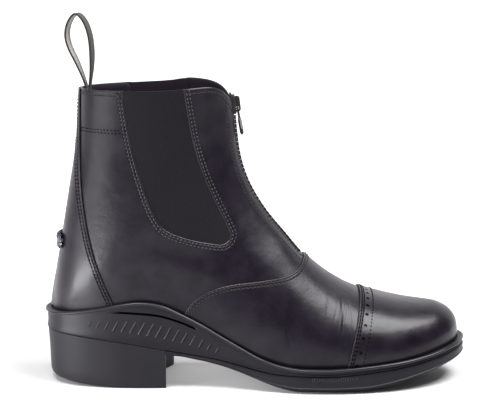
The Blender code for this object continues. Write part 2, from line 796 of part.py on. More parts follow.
def make_slider(metal):
    """Shield-shaped plate with a bridge along it for the pull."""
    length = slider_frame()[3]
    waist = SLIDER_HALF * SLIDER_WAIST
    outline = ((0.0, waist), (length * 0.45, SLIDER_HALF), (length * 0.9, SLIDER_HALF), (length, waist))
    plan = [*outline, *((a, -y) for a, y in reversed(outline))]
    rings = [[slider_point(a, y, away) for a, y in plan] for away in (SLIDER_BACK, SLIDER_FACE)]
    slider = sweep("zip_slider", np.array(rings), metal)
    root, under = SLIDER_FACE - 0.5, SLIDER_FACE + BRIDGE_GAP
    top, low, high = under + BRIDGE_BAR, BRIDGE_INSET, length - BRIDGE_INSET
    bar = BRIDGE_BAR
    side = ((low, root), (low, top - bar), (low + bar, top), (high - bar, top), (high, top - bar))
    side += ((high, root), (BRIDGE_WINDOW, root), (BRIDGE_WINDOW, under))
    side += ((low + bar, under), (low + bar, root))
    rings = [[slider_point(a, y, away) for a, away in side] for y in (-BRIDGE_HALF, BRIDGE_HALF)]
    combine(slider, sweep("bridge_tool", np.array(rings)), "UNION")
    return slider


def make_pull(metal):
    """Flat tab with a thicker grip and a window, hanging from the bridge by the window's top bar."""
    pivot = np.array(slider_point(PIVOT_UP, 0.0, PIVOT_OUT))
    down = np.array((math.sin(PULL_LEAN), 0.0, -math.cos(PULL_LEAN)))
    thick = np.array((math.cos(PULL_LEAN), 0.0, math.sin(PULL_LEAN))) * PULL_BAR / 2
    half, round_end = PULL_HALF, PULL_HALF * 0.45
    head, foot = -PULL_BAR / 2, PULL_LENGTH
    outline = ((head, -half), (foot - round_end, -half), (foot, -half + round_end))
    outline += ((foot, half - round_end), (foot - round_end, half), (head, half))
    across = np.array((0.0, 1.0, 0.0))
    rings = [[down * a + across * y + thick * s for a, y in outline] for s in (-1, 1)]
    tab = sweep("zip_pull", np.array(rings), metal)
    window = ((PULL_BAR / 2, -PULL_WINDOW_HALF), (PULL_WINDOW, -PULL_WINDOW_HALF))
    window += ((PULL_WINDOW, PULL_WINDOW_HALF), (PULL_BAR / 2, PULL_WINDOW_HALF))
    rings = [[pivot + down * a + across * y + thick * 3 * s for a, y in window] for s in (-1, 1)]
    combine(tab, sweep("window_tool", np.array(rings)), "DIFFERENCE")
    grip = ((GRIP_FROM, -GRIP_HALF), (GRIP_TO, -GRIP_HALF), (GRIP_TO, GRIP_HALF), (GRIP_FROM, GRIP_HALF))
    swell = thick * GRIP_THICKNESS / PULL_BAR
    rings = [[pivot + down * a + across * y + swell * s for a, y in grip] for s in (-1, 1)]
    combine(tab, sweep("grip_tool", np.array(rings)), "UNION")
    tab.data.transform(shift_matrix())
    tab.location = (pivot - (MIDDLE[0], MIDDLE[1], 0.0)) * MM
    return tab


def shift_matrix():
    """Undoes the move to the sole's middle, for a mesh drawn about its own pivot."""
    return Matrix.Translation((MIDDLE[0] * MM, MIDDLE[1] * MM, 0.0))


# Sole

def sole_rings(rings, lower, upper, first=0, last=SIDE_STEPS):
    """Rings of points round the sole between two height lines, as outer and inner halves."""
    made = []
    for inset, share, lift, toe_inset in rings:
        ring = []
        for side in (-1, 1):
            half = sole_side(side, inset, toe_inset)[first : last + 1]
            low, high = height(lower, half[:, 0]), height(upper, half[:, 0])
            ring.append(np.column_stack([half, low + share * (high - low) + lift]))
        made.append(ring)
    return made


def sole_piece(name, rings, finish):
    """A solid through rings of the sole, with strips across its top and bottom."""
    steps = len(rings[0][0])
    points = np.vstack([half for ring in rings for half in ring])
    faces = []

    def corner(ring, side, k):
        return (2 * ring + side) * steps + k

    for ring in range(len(rings) - 1):
        for side in (0, 1):
            for k in range(steps - 1):
                square = ((ring, k), (ring, k + 1), (ring + 1, k + 1), (ring + 1, k))
                faces.append([corner(r, side, m) for r, m in square])
        for k in (0, steps - 1):
            faces.append([corner(r, s, k) for r, s in ((ring, 0), (ring, 1), (ring + 1, 1), (ring + 1, 0))])
    for ring in (0, len(rings) - 1):
        for k in range(steps - 1):
            faces.append([corner(ring, s, m) for s, m in ((0, k), (0, k + 1), (1, k + 1), (1, k))])
    piece = mesh_object(name, points, faces, finish)
    weld = piece.modifiers.new("weld", "WELD")
    weld.merge_threshold = 0.00002
    return piece


def breast_line(x_shift):
    return [(BREAST_OUTER + x_shift, -WELL_OUTSIDE), (BREAST_INNER + x_shift, WELL_OUTSIDE)]


def cup_room(form):
    """How far the cup's wall stays off each point of the upper, with what is sewn on it there."""
    x, z = form.points[:, 0], form.points[:, 2]

    def line_x(line):
        low_first = np.array(sorted(line, key=lambda point: point[1]))
        return np.interp(z, low_first[:, 1], low_first[:, 0])

    room = np.full(len(x), GAP)
    room[x > line_x(VAMP_LINE) - PANEL_LEAD] += LEATHER + 1.5 * GAP
    room[x > line_x(CAP_LINE) - PANEL_LEAD] += LEATHER + 1.5 * GAP
    room[x < line_x(BACKSTAY_LINE) + PANEL_LEAD] += LEATHER + 2 * GAP
    return room[:, None]


def make_midsole(form, rubber):
    """Cup with the rim, side walls, slots and ribs; the upper stands in it."""
    sole = sole_piece("midsole", sole_rings(MIDSOLE_RINGS, PARTING_HEIGHT, RIM_HEIGHT), rubber)
    combine(sole, form.filled("cup_tool", cup_room(form), -GAP), "DIFFERENCE")
    for side, name in ((-1, "outer"), (1, "inner")):
        combine(sole, slot_tool(side, name), "DIFFERENCE")
        for number, rib in enumerate(rib_tools(side, name)):
            combine(sole, rib, "UNION")
    return sole


def wall_point(side, x, inset):
    """A point in plan on the side wall of the sole, and its direction outwards."""
    half = sole_side(side, inset)
    y = np.interp(x, half[:, 0], half[:, 1])
    slope = (np.interp(x + 1, half[:, 0], half[:, 1]) - np.interp(x - 1, half[:, 0], half[:, 1])) / 2
    out = np.array((-slope, 1.0)) * side
    return np.array((x, y)), out / np.linalg.norm(out)


def slot_tool(side, name):
    rings = []
    line = smooth(SLOT_LINE, 3)
    for x, z in line:
        plan, out = wall_point(side, x, SIDE_INSET)
        ring = []
        for away, up in ((-SLOT_DEPTH, -0.5), (4.0, -0.5), (4.0, 0.5), (-SLOT_DEPTH, 0.5)):
            ring.append((*(plan + out * away), z + up * SLOT_HEIGHT))
        rings.append(ring)
    return sweep(f"slot_{name}_tool", np.array(rings))


def rib_tools(side, name):
    """Slanted ribs in a row along the waist, shorter towards both ends."""
    middles = along(smooth(RIB_LINE, 8), np.linspace(0.0, 1.0, RIB_COUNT))
    made = []
    for number, (x, z) in enumerate(middles):
        middle_share = math.sin(math.pi * number / (RIB_COUNT - 1))
        length = RIB_LENGTH * (RIB_END_SHARE + (1 - RIB_END_SHARE) * middle_share)
        rings = []
        for end in (-0.5, 0.5):
            ring = []
            for across, away in ((-0.5, -RIB_ROOT), (0.5, -RIB_ROOT), (0.5, RIB_PROUD), (-0.5, RIB_PROUD)):
                at_x = x + end * RIB_LEAN * length / RIB_LENGTH + across * RIB_WIDTH
                plan, out = wall_point(side, at_x, SIDE_INSET)
                ring.append((*(plan + out * away), z + end * length))
            rings.append(ring)
        made.append(sweep(f"rib_{name}_{number}_tool", np.array(rings)))
    return made


def make_outsole(rubber):
    """Tread layer from the heel breast to the toe, with the arch and the toe spring."""
    first = int(SIDE_STEPS * 0.24)
    rings = sole_rings(OUTSOLE_RINGS, BOTTOM_HEIGHT, PARTING_HEIGHT, first)
    outsole = sole_piece("outsole", rings, rubber)
    behind = [*breast_line(0.5 * GAP), (-60.0, WELL_OUTSIDE), (-60.0, -WELL_OUTSIDE)]
    return combine(outsole, plan_prism("outsole_back_tool", behind, -20.0, 60.0), "DIFFERENCE")


def make_heel(rubber):
    """Block heel with a hollowed breast and an eased back edge."""
    last = int(SIDE_STEPS * 0.42)
    rings = sole_rings(HEEL_RINGS, HEEL_SEAT_HEIGHT, PARTING_HEIGHT, 0, last)
    heel = sole_piece("heel", rings, rubber)
    far = [(200.0, WELL_OUTSIDE), (200.0, -WELL_OUTSIDE)]
    front_tool = plan_prism("heel_front_tool", [*breast_line(-0.5 * GAP), *far], -20.0, 60.0)
    combine(heel, front_tool, "DIFFERENCE")
    hollow = [(BREAST_OUTER, -BREAST_REACH / 2), (BREAST_MIDDLE, 0.0), (BREAST_INNER, BREAST_REACH / 2)]
    curve = [*map(tuple, smooth(hollow, 6)), (200.0, BREAST_REACH), (200.0, -BREAST_REACH)]
    return combine(heel, plan_prism("breast_tool", curve, -20.0, LEDGE_HEIGHT), "DIFFERENCE")


def make_insole(cloth):
    """Footbed on the floor of the cup, inside the wall of the upper."""
    halves = [outline_side(side, -(WALL + 4 * GAP)) for side in (-1, 1)]
    rings = []
    for lift in (0.0, INSOLE_THICKNESS):
        rings.append([np.column_stack([half, feather_height(half[:, 0]) + lift]) for half in halves])
    return sole_piece("insole", rings, cloth)


def main():
    for item in list(bpy.data.objects):
        bpy.data.objects.remove(item)
    leather = material("black_leather", (0.016, 0.015, 0.018), 0.42)
    rubber = material("black_rubber", (0.035, 0.034, 0.038), 0.62)
    elastic = material("black_elastic", (0.020, 0.019, 0.023), 0.85)
    cloth = material("black_cloth", (0.022, 0.020, 0.024), 0.9)
    webbing = material("grey_webbing", (0.16, 0.155, 0.145), 0.8)
    metal = material("dark_metal", (0.05, 0.048, 0.05), 0.35, 0.9)
    form = Form()
    make_upper(form, leather)
    make_vamp(form, leather)
    make_toe_cap(form, leather)
    make_backstay(form, leather)
    make_gusset(form, -1, "gusset_outer", elastic)
    make_gusset(form, 1, "gusset_inner", elastic)
    make_spur_rest(form, leather)
    make_pull_loop(webbing)
    zip_strip("zip_tape", form, TAPE_HEAD, TAPE_HALF, TAPE_BACK, TAPE_FACE, cloth)
    zip_strip("zip_chain", form, CHAIN_HEAD, CHAIN_HALF, CHAIN_BACK, CHAIN_FACE, metal)
    make_slider(metal)
    make_pull(metal)
    make_midsole(form, rubber)
    make_outsole(rubber)
    make_heel(rubber)
    make_insole(cloth)


main()
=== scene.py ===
"""Dresses the jodhpur boot: leather, elastic, webbing, zip, stitching and rubber over its fixed frame.

The boot's own sizes are in millimetres: x runs from the back of the heel to the toe, y from the outer
to the inner side of the foot and z up from the floor. Finished pieces are in metres.
"""

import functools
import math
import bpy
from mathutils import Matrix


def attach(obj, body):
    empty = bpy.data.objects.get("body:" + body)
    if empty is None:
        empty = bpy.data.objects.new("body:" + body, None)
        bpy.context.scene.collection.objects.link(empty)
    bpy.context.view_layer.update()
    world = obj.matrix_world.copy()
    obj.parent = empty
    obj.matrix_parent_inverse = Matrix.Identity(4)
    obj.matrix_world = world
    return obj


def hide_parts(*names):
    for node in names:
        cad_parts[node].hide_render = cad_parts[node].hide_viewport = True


bl_info = {
    "name": "Jodhpur Boot",
    "version": (1, 0, 0),
    "blender": (4, 5, 0),
    "location": "View3D > Sidebar > Boot",
    "description": "Builds the leather, elastic, zip, stitching and sole of a jodhpur boot",
    "category": "Object",
}

import bpy
import numpy as np
from bpy.props import FloatProperty, FloatVectorProperty, PointerProperty
from mathutils import Vector
from mathutils.bvhtree import BVHTree

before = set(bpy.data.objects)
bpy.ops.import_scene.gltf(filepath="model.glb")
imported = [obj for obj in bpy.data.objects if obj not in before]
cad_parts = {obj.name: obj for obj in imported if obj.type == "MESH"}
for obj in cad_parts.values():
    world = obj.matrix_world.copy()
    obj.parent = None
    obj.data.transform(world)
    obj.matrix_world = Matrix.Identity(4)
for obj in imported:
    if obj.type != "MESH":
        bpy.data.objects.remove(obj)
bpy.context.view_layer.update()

MM = 0.001
# Middle of the sole, where the frame has its origin
ORIGIN = np.array((138.87, -0.167, 0.0))
BODY, PULL_BODY = "boot", "zip_pull_tab"

# Plan outline of the last: distance from the heel, then half-widths to the outer and inner side
LAST_OUTLINE = (
    # x, outer, inner
    (4.4, 0.0, 0.0),
    (6.6, 10.0, 10.0),
    (11.0, 17.6, 17.6),
    (18.5, 23.6, 23.5),
    (30.0, 27.8, 27.5),
    (46.0, 29.9, 29.2),
    (66.0, 30.2, 28.4),
    (88.0, 30.1, 26.6),
    (108.0, 31.0, 26.0),
    (128.0, 34.2, 28.2),
    (148.0, 39.0, 33.2),
    (168.0, 43.1, 39.0),
    (184.0, 44.2, 42.6),
    (199.0, 43.6, 43.9),
    (214.0, 41.2, 43.4),
    (228.0, 37.8, 41.5),
    (241.0, 32.2, 37.9),
    (252.0, 25.4, 32.8),
    (261.0, 17.0, 26.6),
    (267.5, 7.2, 19.2),
    (271.0, -6.5, 6.5),
)
# Sections of the last, toe to collar, as in the solid upper
SECTION_COLUMNS = (
    "low_x low_z top_x top_z wide_outer wide_inner wide_at low_round top_round ridge_y"
).split()
SECTIONS = {
    "toe_point": (271.0, 23.6, 271.0, 28.6, 0.0, 0.0, 0.30, 2.0, 2.00, 6.5),
    "toe_face": (270.0, 23.4, 270.7, 33.6, 6.6, 6.6, 0.30, 2.0, 2.00, 6.5),
    "toe_brow": (267.0, 22.9, 269.2, 38.6, 14.2, 14.2, 0.28, 2.0, 2.00, 6.4),
    "toe_dome": (262.0, 22.0, 265.2, 43.1, 20.9, 20.9, 0.26, 2.0, 2.05, 6.2),
    "toe_roof": (255.0, 20.8, 258.2, 46.4, 27.2, 27.2, 0.25, 2.0, 2.10, 6.0),
    "toe_box": (246.0, 19.2, 248.0, 47.8, 33.2, 33.2, 0.24, 2.0, 2.15, 5.7),
    "cap_middle": (235.0, 17.6, 235.8, 49.4, 38.2, 38.2, 0.23, 2.0, 2.20, 5.2),
    "cap_back": (221.0, 15.8, 220.8, 52.8, 42.1, 42.1, 0.22, 2.0, 2.20, 4.6),
    "cap_line": (205.0, 14.4, 204.8, 57.9, 44.3, 44.3, 0.21, 2.0, 2.15, 3.7),
    "ball": (187.0, 13.6, 186.8, 67.9, 44.7, 44.7, 0.20, 2.0, 2.05, 2.4),
    "vamp": (168.0, 13.8, 170.2, 82.0, 42.6, 42.6, 0.20, 2.0, 2.00, 1.0),
    "instep": (150.0, 16.0, 157.6, 96.8, 39.3, 38.6, 0.22, 2.0, 1.95, 0.3),
    "high_instep": (132.0, 20.6, 147.8, 108.5, 36.0, 34.6, 0.25, 2.0, 1.95, 0.0),
    "waist": (112.0, 26.2, 140.2, 119.5, 33.6, 31.6, 0.30, 2.0, 2.00, 0.0),
    "arch": (90.8, 32.2, 134.9, 129.3, 32.6, 31.4, 0.36, 2.0, 2.00, 0.0),
    "shank": (64.4, 37.2, 131.3, 138.1, 33.4, 32.6, 0.41, 2.0, 2.00, 0.0),
    "heel_front": (42.8, 39.7, 129.0, 146.2, 34.9, 34.7, 0.44, 2.0, 2.00, 0.0),
    "heel_middle": (26.0, 41.0, 127.6, 153.4, 35.6, 35.5, 0.46, 2.0, 2.00, 0.0),
    "heel_cup": (14.0, 41.6, 126.8, 159.8, 36.0, 36.0, 0.47, 2.0, 2.00, 0.0),
    "heel_curve": (6.8, 41.9, 126.2, 165.3, 36.1, 36.1, 0.47, 2.0, 2.00, 0.0),
    "heel_back": (4.4, 42.0, 125.8, 169.8, 36.1, 36.1, 0.47, 2.0, 2.00, 0.0),
    "counter": (5.4, 56.0, 125.4, 173.9, 36.0, 36.0, 0.47, 2.0, 2.00, 0.0),
    "counter_top": (9.3, 77.5, 124.9, 178.0, 35.9, 35.9, 0.47, 2.0, 2.00, 0.0),
    "ankle": (14.1, 103.5, 124.4, 182.2, 35.8, 35.8, 0.47, 2.0, 2.00, 0.0),
    "low_shaft": (18.8, 131.0, 123.8, 186.6, 35.9, 35.9, 0.47, 2.0, 2.00, 0.0),
    "shaft": (23.0, 158.5, 123.2, 191.3, 36.3, 36.3, 0.47, 2.0, 2.00, 0.0),
    "collar": (25.6, 197.0, 122.4, 197.6, 37.0, 37.0, 0.47, 2.0, 2.00, 0.0),
}
SECTION_NAMES = list(SECTIONS)

# Sole: how far it stands out past the last, and its heights along the foot
SOLE_MARGIN = (
    # x, margin
    (0.0, 4.5),
    (30.0, 5.4),
    (64.0, 7.0),
    (100.0, 6.8),
    (130.0, 5.8),
    (200.0, 5.4),
    (240.0, 6.0),
    (272.0, 7.0),
)
# How much of a profile's further inset at the toe counts, along the boot
TOE_EASE = ((0.0, 0.0), (246.0, 0.0), (270.0, 1.0), (272.0, 1.0))
RIM_HEIGHT = (
    # x, z of the top of the side wall
    (0.0, 47.6),
    (12.0, 48.6),
    (37.0, 52.9),
    (50.0, 55.6),
    (64.0, 57.4),
    (78.0, 55.6),
    (90.0, 50.4),
    (104.0, 43.2),
    (117.0, 35.5),
    (131.0, 27.7),
    (141.0, 22.6),
    (152.0, 18.8),
    (165.0, 16.6),
    (182.0, 16.2),
    (199.0, 17.0),
    (234.0, 20.0),
    (252.0, 22.4),
    (264.0, 24.8),
    (278.0, 27.6),
)
PARTING_HEIGHT = (
    # x, z of the line between side wall and bottom
    (0.0, 34.8),
    (18.0, 34.2),
    (50.0, 30.9),
    (81.0, 25.7),
    (108.0, 21.2),
    (122.0, 18.3),
    (141.0, 13.8),
    (152.0, 12.0),
    (168.0, 11.4),
    (185.0, 11.4),
    (200.0, 12.2),
    (234.0, 15.6),
    (252.0, 18.4),
    (278.0, 23.2),
)
BOTTOM_HEIGHT = (
    # x, z of the tread
    (0.0, 22.0),
    (80.0, 21.6),
    (99.0, 19.2),
    (113.0, 16.0),
    (127.0, 11.6),
    (141.0, 6.4),
    (152.0, 2.6),
    (162.0, 0.4),
    (168.0, 0.0),
    (206.0, 0.0),
    (216.0, 0.8),
    (228.0, 3.3),
    (245.0, 7.4),
    (262.0, 11.6),
    (278.0, 15.2),
)
HEEL_SEAT_HEIGHT = (
    # x, z of the walking face of the heel, eased at the back
    (0.0, 5.4),
    (10.0, 3.8),
    (25.0, 1.8),
    (40.0, 0.5),
    (52.0, 0.0),
    (100.0, 0.0),
)
# Profiles round the sole: inset from the outline, share of the way from the lower to the upper height
# line, a lift added to it, and a further inset at the toe
CUP_PROFILE = (
    (1.8, 0.0, 0.15, -1.0),
    (1.3, 0.0, 0.4, -1.0),
    (1.1, 0.0, 0.9, -0.9),
    (1.3, 0.0, 1.4, -1.3),
    (1.5, 0.2, 0.6, -1.5),
    (1.6, 0.42, 0.0, -1.6),
)
RIM_PROFILE = (
    (1.5, 1.0, -2.3, -1.2),
    (0.9, 1.0, -2.1, -0.7),
    (0.25, 1.0, -1.75, 0.1),
    (0.0, 1.0, -1.2, 0.7),
    (0.12, 1.0, -0.65, 1.1),
    (0.5, 1.0, -0.2, 1.4),
    (1.1, 1.0, 0.05, 1.6),
)
TREAD_PROFILE = (
    (7.0, 0.0, 0.0, -2.5),
    (4.6, 0.05, 0.0, -2.0),
    (2.6, 0.16, 0.0, -1.6),
    (1.7, 0.26, 0.0, -1.3),
    (0.8, 0.3, 0.0, -1.1),
    (0.6, 0.33, 0.0, -1.0),
    (1.0, 0.37, 0.0, -0.9),
    (0.9, 0.48, 0.0, -0.8),
    (0.6, 0.7, 0.0, -0.5),
    (0.5, 1.0, -1.3, -0.3),
    (0.8, 1.0, -0.5, -0.5),
    (1.6, 1.0, -0.15, -1.0),
)
HEEL_PROFILE = (
    (4.4, 0.0, 0.0, 0.0),
    (3.6, 0.015, 0.0, 0.0),
    (3.1, 0.07, 0.0, 0.0),
    (2.85, 0.25, 0.0, 0.0),
    (2.6, 0.5, 0.0, 0.0),
    (2.2, 0.75, 0.0, 0.0),
    (1.8, 0.92, 0.0, 0.0),
    (1.6, 1.0, -0.15, 0.0),
)
BREAST_OUTER, BREAST_MIDDLE, BREAST_INNER = 79.6, 74.0, 84.6
BREAST_REACH, BREAST_GAP, LEDGE_HEIGHT = 60.0, 0.15, 21.4
# How far the cuts through the sole reach
CUT_SIDE, CUT_LOW, CUT_HIGH = 70.0, -20.0, 60.0
CUT_BACK, CUT_FRONT, HOLLOW_FRONT = -60.0, 300.0, 200.0
SLOT_LINE = ((48.0, 50.6), (63.5, 49.8), (77.0, 48.3), (90.0, 44.4), (100.5, 39.9))
SLOT_DEPTH, SLOT_HEIGHT, SLOT_EASE = 2.0, 1.9, 2.0
# Slanted ribs along the waist, and ticks on the tread's edge behind the toe cap
RIB_COUNT = 16
RIB_LINE = ((32.0, 42.4), (63.3, 40.4), (90.3, 34.8), (114.0, 26.4))
RIB_LEAN, RIB_LENGTH, RIB_WIDTH, RIB_PROUD = 4.4, 8.0, 1.1, 0.7
RIB_END_SHARE = 0.45
TICK_FROM, TICK_TO, TICK_PITCH, TICK_LEVEL = 175.0, 205.0, 1.5, 0.83
TICK_INSET, TICK_SIZE, TICK_PROUD = 0.58, (0.8, 2.2), 0.35
SIDE_INSET, SIDE_TOE_INSET = 1.5, -1.4
SOLE_STEPS = 150

# Panel lines on the side of the boot, as x and z
COLLAR_LINE = (
    (10.0, 192.4),
    (40.0, 192.3),
    (70.0, 192.6),
    (95.0, 193.4),
    (109.0, 194.0),
    (116.0, 192.2),
    (121.0, 187.8),
    (124.8, 181.0),
    (130.0, 169.0),
)
# Carries the collar line on past the zip, so that it cuts nothing in front
COLLAR_AHEAD = (200.0, 168.0)
COLLAR_RISE = (
    # x, how much higher the inner side stands
    (10.0, 0.0),
    (50.0, 0.4),
    (80.0, 1.2),
    (92.0, 2.6),
    (97.0, 2.6),
    (106.0, 1.4),
    (114.0, 0.4),
    (130.0, 0.0),
)
GUSSET_LINE = (
    (54.4, 200.0),
    (57.4, 175.0),
    (61.6, 153.0),
    (69.0, 127.5),
    (75.2, 112.2),
    (82.0, 103.6),
    (96.0, 97.8),
    (112.0, 94.4),
    (119.2, 94.4),
    (123.0, 99.4),
    (119.6, 107.8),
    (111.9, 123.4),
    (104.4, 141.4),
    (98.4, 163.0),
    (92.4, 200.0),
)
VAMP_LINE = (
    (82.0, 30.0),
    (92.4, 48.0),
    (98.6, 57.0),
    (108.0, 63.6),
    (122.0, 68.2),
    (141.7, 70.6),
    (156.0, 72.6),
    (165.0, 76.0),
    (169.8, 81.0),
    (171.6, 87.0),
    (174.0, 100.0),
)
CAP_LINE = ((208.6, 75.0), (206.8, 58.0), (204.3, 46.5), (200.9, 31.5), (195.5, 10.0))
BACKSTAY_LINE = (
    (26.4, 198.0),
    (26.2, 170.0),
    (26.6, 140.0),
    (28.8, 118.0),
    (33.4, 94.0),
    (40.0, 73.0),
    (47.3, 55.4),
    (54.0, 38.0),
)
# Seam across the back of the shaft
BAND_HEIGHT, BAND_REACH = 166.5, 66.0
# Stands in a distance field for a place that its line doesn't reach
FAR = 50.0

# Layers of the upper, as distances out from its own face
WALL, GAP = 2.0, 0.3
# What one leather layer adds, gap and all, where the sole's rim meets it
OVERLAY = 1.2
ELASTIC_FACE, ELASTIC_THICKNESS = -0.5, 1.2
GUSSET_SIDE, GUSSET_SHORT = 8.0, 0.25
CAP_UNDERLAP, BACKSTAY_SHORT = 22.0, 0.4
# How the lining curves out to the cut edges of the upper
ROLL_DEPTH, ROLL_WIDTH = 0.8, 1.4

# Zip, whose slot is cut only ahead of ZIP_FROM
ZIP_FROM, ZIP_SLOT_HALF = 100.0, 4.6
ZIP_FOOT, CHAIN_HEAD, TAPE_HEAD = 84.0, 174.2, 188.6
TAPE_HALF, TAPE_BACK, TAPE_FACE = 4.3, -1.9, -0.7
CHAIN_HALF, CHAIN_BACK, CHAIN_FACE = 2.6, -1.0, 0.6
TOOTH_PITCH = 1.45
SLIDER_FOOT, SLIDER_HEAD = np.array((125.4, 174.8)), np.array((123.8, 187.4))
SLIDER_HALF, SLIDER_BACK, SLIDER_FACE = 4.0, -0.9, 1.2
BRIDGE_HALF, BRIDGE_GAP, BRIDGE_BAR = 1.1, 1.9, 1.2
BRIDGE_INSET, BRIDGE_SILL = 1.2, 4.5
PIVOT_UP, PIVOT_OUT = 3.5, 2.15
PULL_LENGTH, PULL_HALF, PULL_BAR = 17.4, 2.7, 1.2
PULL_WINDOW_HALF, PULL_WINDOW = 1.7, 5.2
PULL_ARM_HALF, PULL_PIN, PULL_PIN_INSET = 0.72, 0.9, 0.3
GRIP_FROM, GRIP_TO, GRIP_HALF, GRIP_THICKNESS = 6.6, 17.0, 2.2, 2.4
STRIP_SECTION, STRIP_SHORTER = ((2.5, 0.0), (2.85, 0.1), (2.85, 0.8), (2.5, 0.9)), 3.2
PULL_LEAN = math.radians(10.0)

# Pull loop of woven tape, from the seam inside the collar round and back, as x and z
LOOP_PATH = (
    (29.8, 176.0),
    (29.8, 184.0),
    (29.7, 190.5),
    (27.6, 198.0),
    (23.6, 208.0),
    (19.0, 218.0),
    (17.3, 226.0),
    (19.0, 234.0),
    (23.6, 239.4),
    (28.6, 235.0),
    (31.9, 226.0),
    (33.1, 215.0),
    (32.8, 204.0),
    (31.8, 195.0),
    (31.4, 189.0),
    (31.3, 184.0),
    (31.3, 176.0),
)
LOOP_HALF, LOOP_THICKNESS = 5.5, 1.2
LOOP_TWIST = math.radians(9.0)
LOOP_TWIST_FROM, LOOP_TWIST_TO = 192.0, 215.0

# Spur rest
SPUR_Z, SPUR_REACH, SPUR_OUT = 92.2, 15.4, 2.6
SPUR_SWING, SPUR_STRAND, SPUR_WAVE = 3.1, 1.75, 11.0
SPUR_OVER, SPUR_WIDE, SPUR_THICK = 0.55, 1.1, 0.62

# Creases where the foot bends, on the outer and inner side: top and low end, half-width and depth
CREASES = (
    # side, top_x, top_z, low_x, low_z, half, depth
    (-1, 159.0, 58.0, 161.5, 26.0, 0.9, 0.08),
    (-1, 163.5, 52.0, 165.5, 30.0, 1.2, 0.04),
    (-1, 184.0, 58.0, 183.0, 24.0, 1.2, 0.05),
    (-1, 190.0, 57.0, 187.0, 25.0, 0.8, 0.06),
    (-1, 194.4, 57.0, 191.0, 24.0, 0.8, 0.10),
    (-1, 197.2, 58.0, 194.0, 23.0, 0.7, 0.13),
    (-1, 199.8, 58.0, 196.6, 22.0, 0.7, 0.12),
    (-1, 198.0, 64.0, 195.0, 20.0, 3.2, 0.22),
    (1, 160.5, 58.0, 163.0, 26.0, 0.9, 0.08),
    (1, 185.0, 57.0, 185.5, 25.0, 1.1, 0.06),
    (1, 191.5, 58.0, 190.5, 24.0, 0.8, 0.11),
    (1, 196.5, 59.0, 194.5, 22.0, 0.7, 0.12),
    (1, 198.5, 63.0, 196.0, 20.0, 3.0, 0.18),
)
# Stretches of the vamp with creases, along x, and how high they go
CREASED, CREASE_TOP = ((155.0, 168.0), (181.0, 204.0)), 68.0
FOLDS = (
    # from_x, from_z, to_x, to_z, half, height
    (44.0, 94.0, 96.0, 58.0, 6.0, -0.5),
    (66.0, 96.0, 112.0, 84.0, 6.0, -0.65),
    (58.0, 84.0, 118.0, 74.0, 7.0, 0.55),
    (128.0, 92.0, 150.0, 76.0, 7.0, 0.55),
    (134.0, 110.0, 122.0, 120.0, 5.0, -0.25),
    (160.0, 66.0, 190.0, 50.0, 9.0, 0.25),
    (44.0, 150.0, 46.0, 110.0, 9.0, 0.25),
)


def measure(name, description, default, low):
    return FloatProperty(
        name=name, description=description, default=default, min=low, unit="LENGTH", precision=5
    )


class BootSizes(bpy.types.PropertyGroup):
    """Sizes of the leather and the stitching."""

    leather: measure("Leather", "Thickness of the vamp, toe cap and backstay", 0.0009, 0.0003)
    edge_round: measure("Edge Round", "Width over which a cut edge of leather is rounded", 0.0008, 0.0)
    stitch_pitch: measure("Stitch Pitch", "Distance from one stitch to the next", 0.0025, 0.001)
    stitch_length: measure("Stitch Length", "Length of one stitch on the leather", 0.00155, 0.0005)
    thread: measure("Thread", "Thickness of the sewing thread", 0.0007, 0.0001)
    hole: measure("Punched Hole", "Diameter of the holes along the toe cap", 0.0023, 0.0005)
    hole_pitch: measure("Hole Pitch", "Distance from one punched hole to the next", 0.008, 0.002)
    crease: FloatProperty(
        name="Creases",
        description="How deep the creases and folds of the leather are, as a share",
        default=1.0,
        min=0.0,
        max=2.0,
        subtype="FACTOR",
    )


def colour(name, description, default):
    return FloatVectorProperty(
        name=name, description=description, default=default, subtype="COLOR", size=3, min=0.0, max=1.0
    )


class BootColours(bpy.types.PropertyGroup):
    """Colours of the boot's materials."""

    leather: colour("Leather", "Polished leather of the upper", (0.0056, 0.0036, 0.0082))
    lining: colour("Lining", "Leather lining inside the upper", (0.0072, 0.0040, 0.0096))
    elastic: colour("Elastic", "Elastic of the gussets", (0.0056, 0.0047, 0.0077))
    thread: colour("Thread", "Sewing thread", (0.0200, 0.0184, 0.0220))
    webbing: colour("Webbing", "Inner face of the pull loop", (0.54, 0.525, 0.50))
    webbing_dark: colour("Webbing Edge", "Outer face and edges of the pull loop", (0.05, 0.048, 0.046))
    rubber: colour("Rubber", "Sole and heel", (0.0100, 0.0090, 0.0120))
    cloth: colour("Cloth", "Zip tape and insole", (0.022, 0.020, 0.024))
    metal: colour("Metal", "Slider and teeth of the zip", (0.012, 0.011, 0.013))
    tab: colour("Tab", "Grip of the zip's pull tab", (0.30, 0.295, 0.29))
    floor: colour("Floor", "Floor and backdrop", (0.60, 0.60, 0.605))


def sizes():
    return bpy.context.scene.boot_sizes


def colours():
    return bpy.context.scene.boot_colours


# Curves


def smooth(rows, steps):
    """Rows of numbers read along a curve that passes through each of the given rows."""
    rows = np.array(rows, float)
    padded = np.vstack([2 * rows[0] - rows[1], rows, 2 * rows[-1] - rows[-2]])
    u = (np.arange(steps) / steps)[:, None]
    made = []
    for before, start, end, after in zip(padded, padded[1:], padded[2:], padded[3:]):
        leave, arrive = (end - before) / 2, (after - start) / 2
        made.append(
            (1 + 2 * u) * (1 - u) ** 2 * start
            + u * (1 - u) ** 2 * leave
            + u * u * (3 - 2 * u) * end
            + u * u * (u - 1) * arrive
        )
    return np.vstack([*made, rows[-1:]])


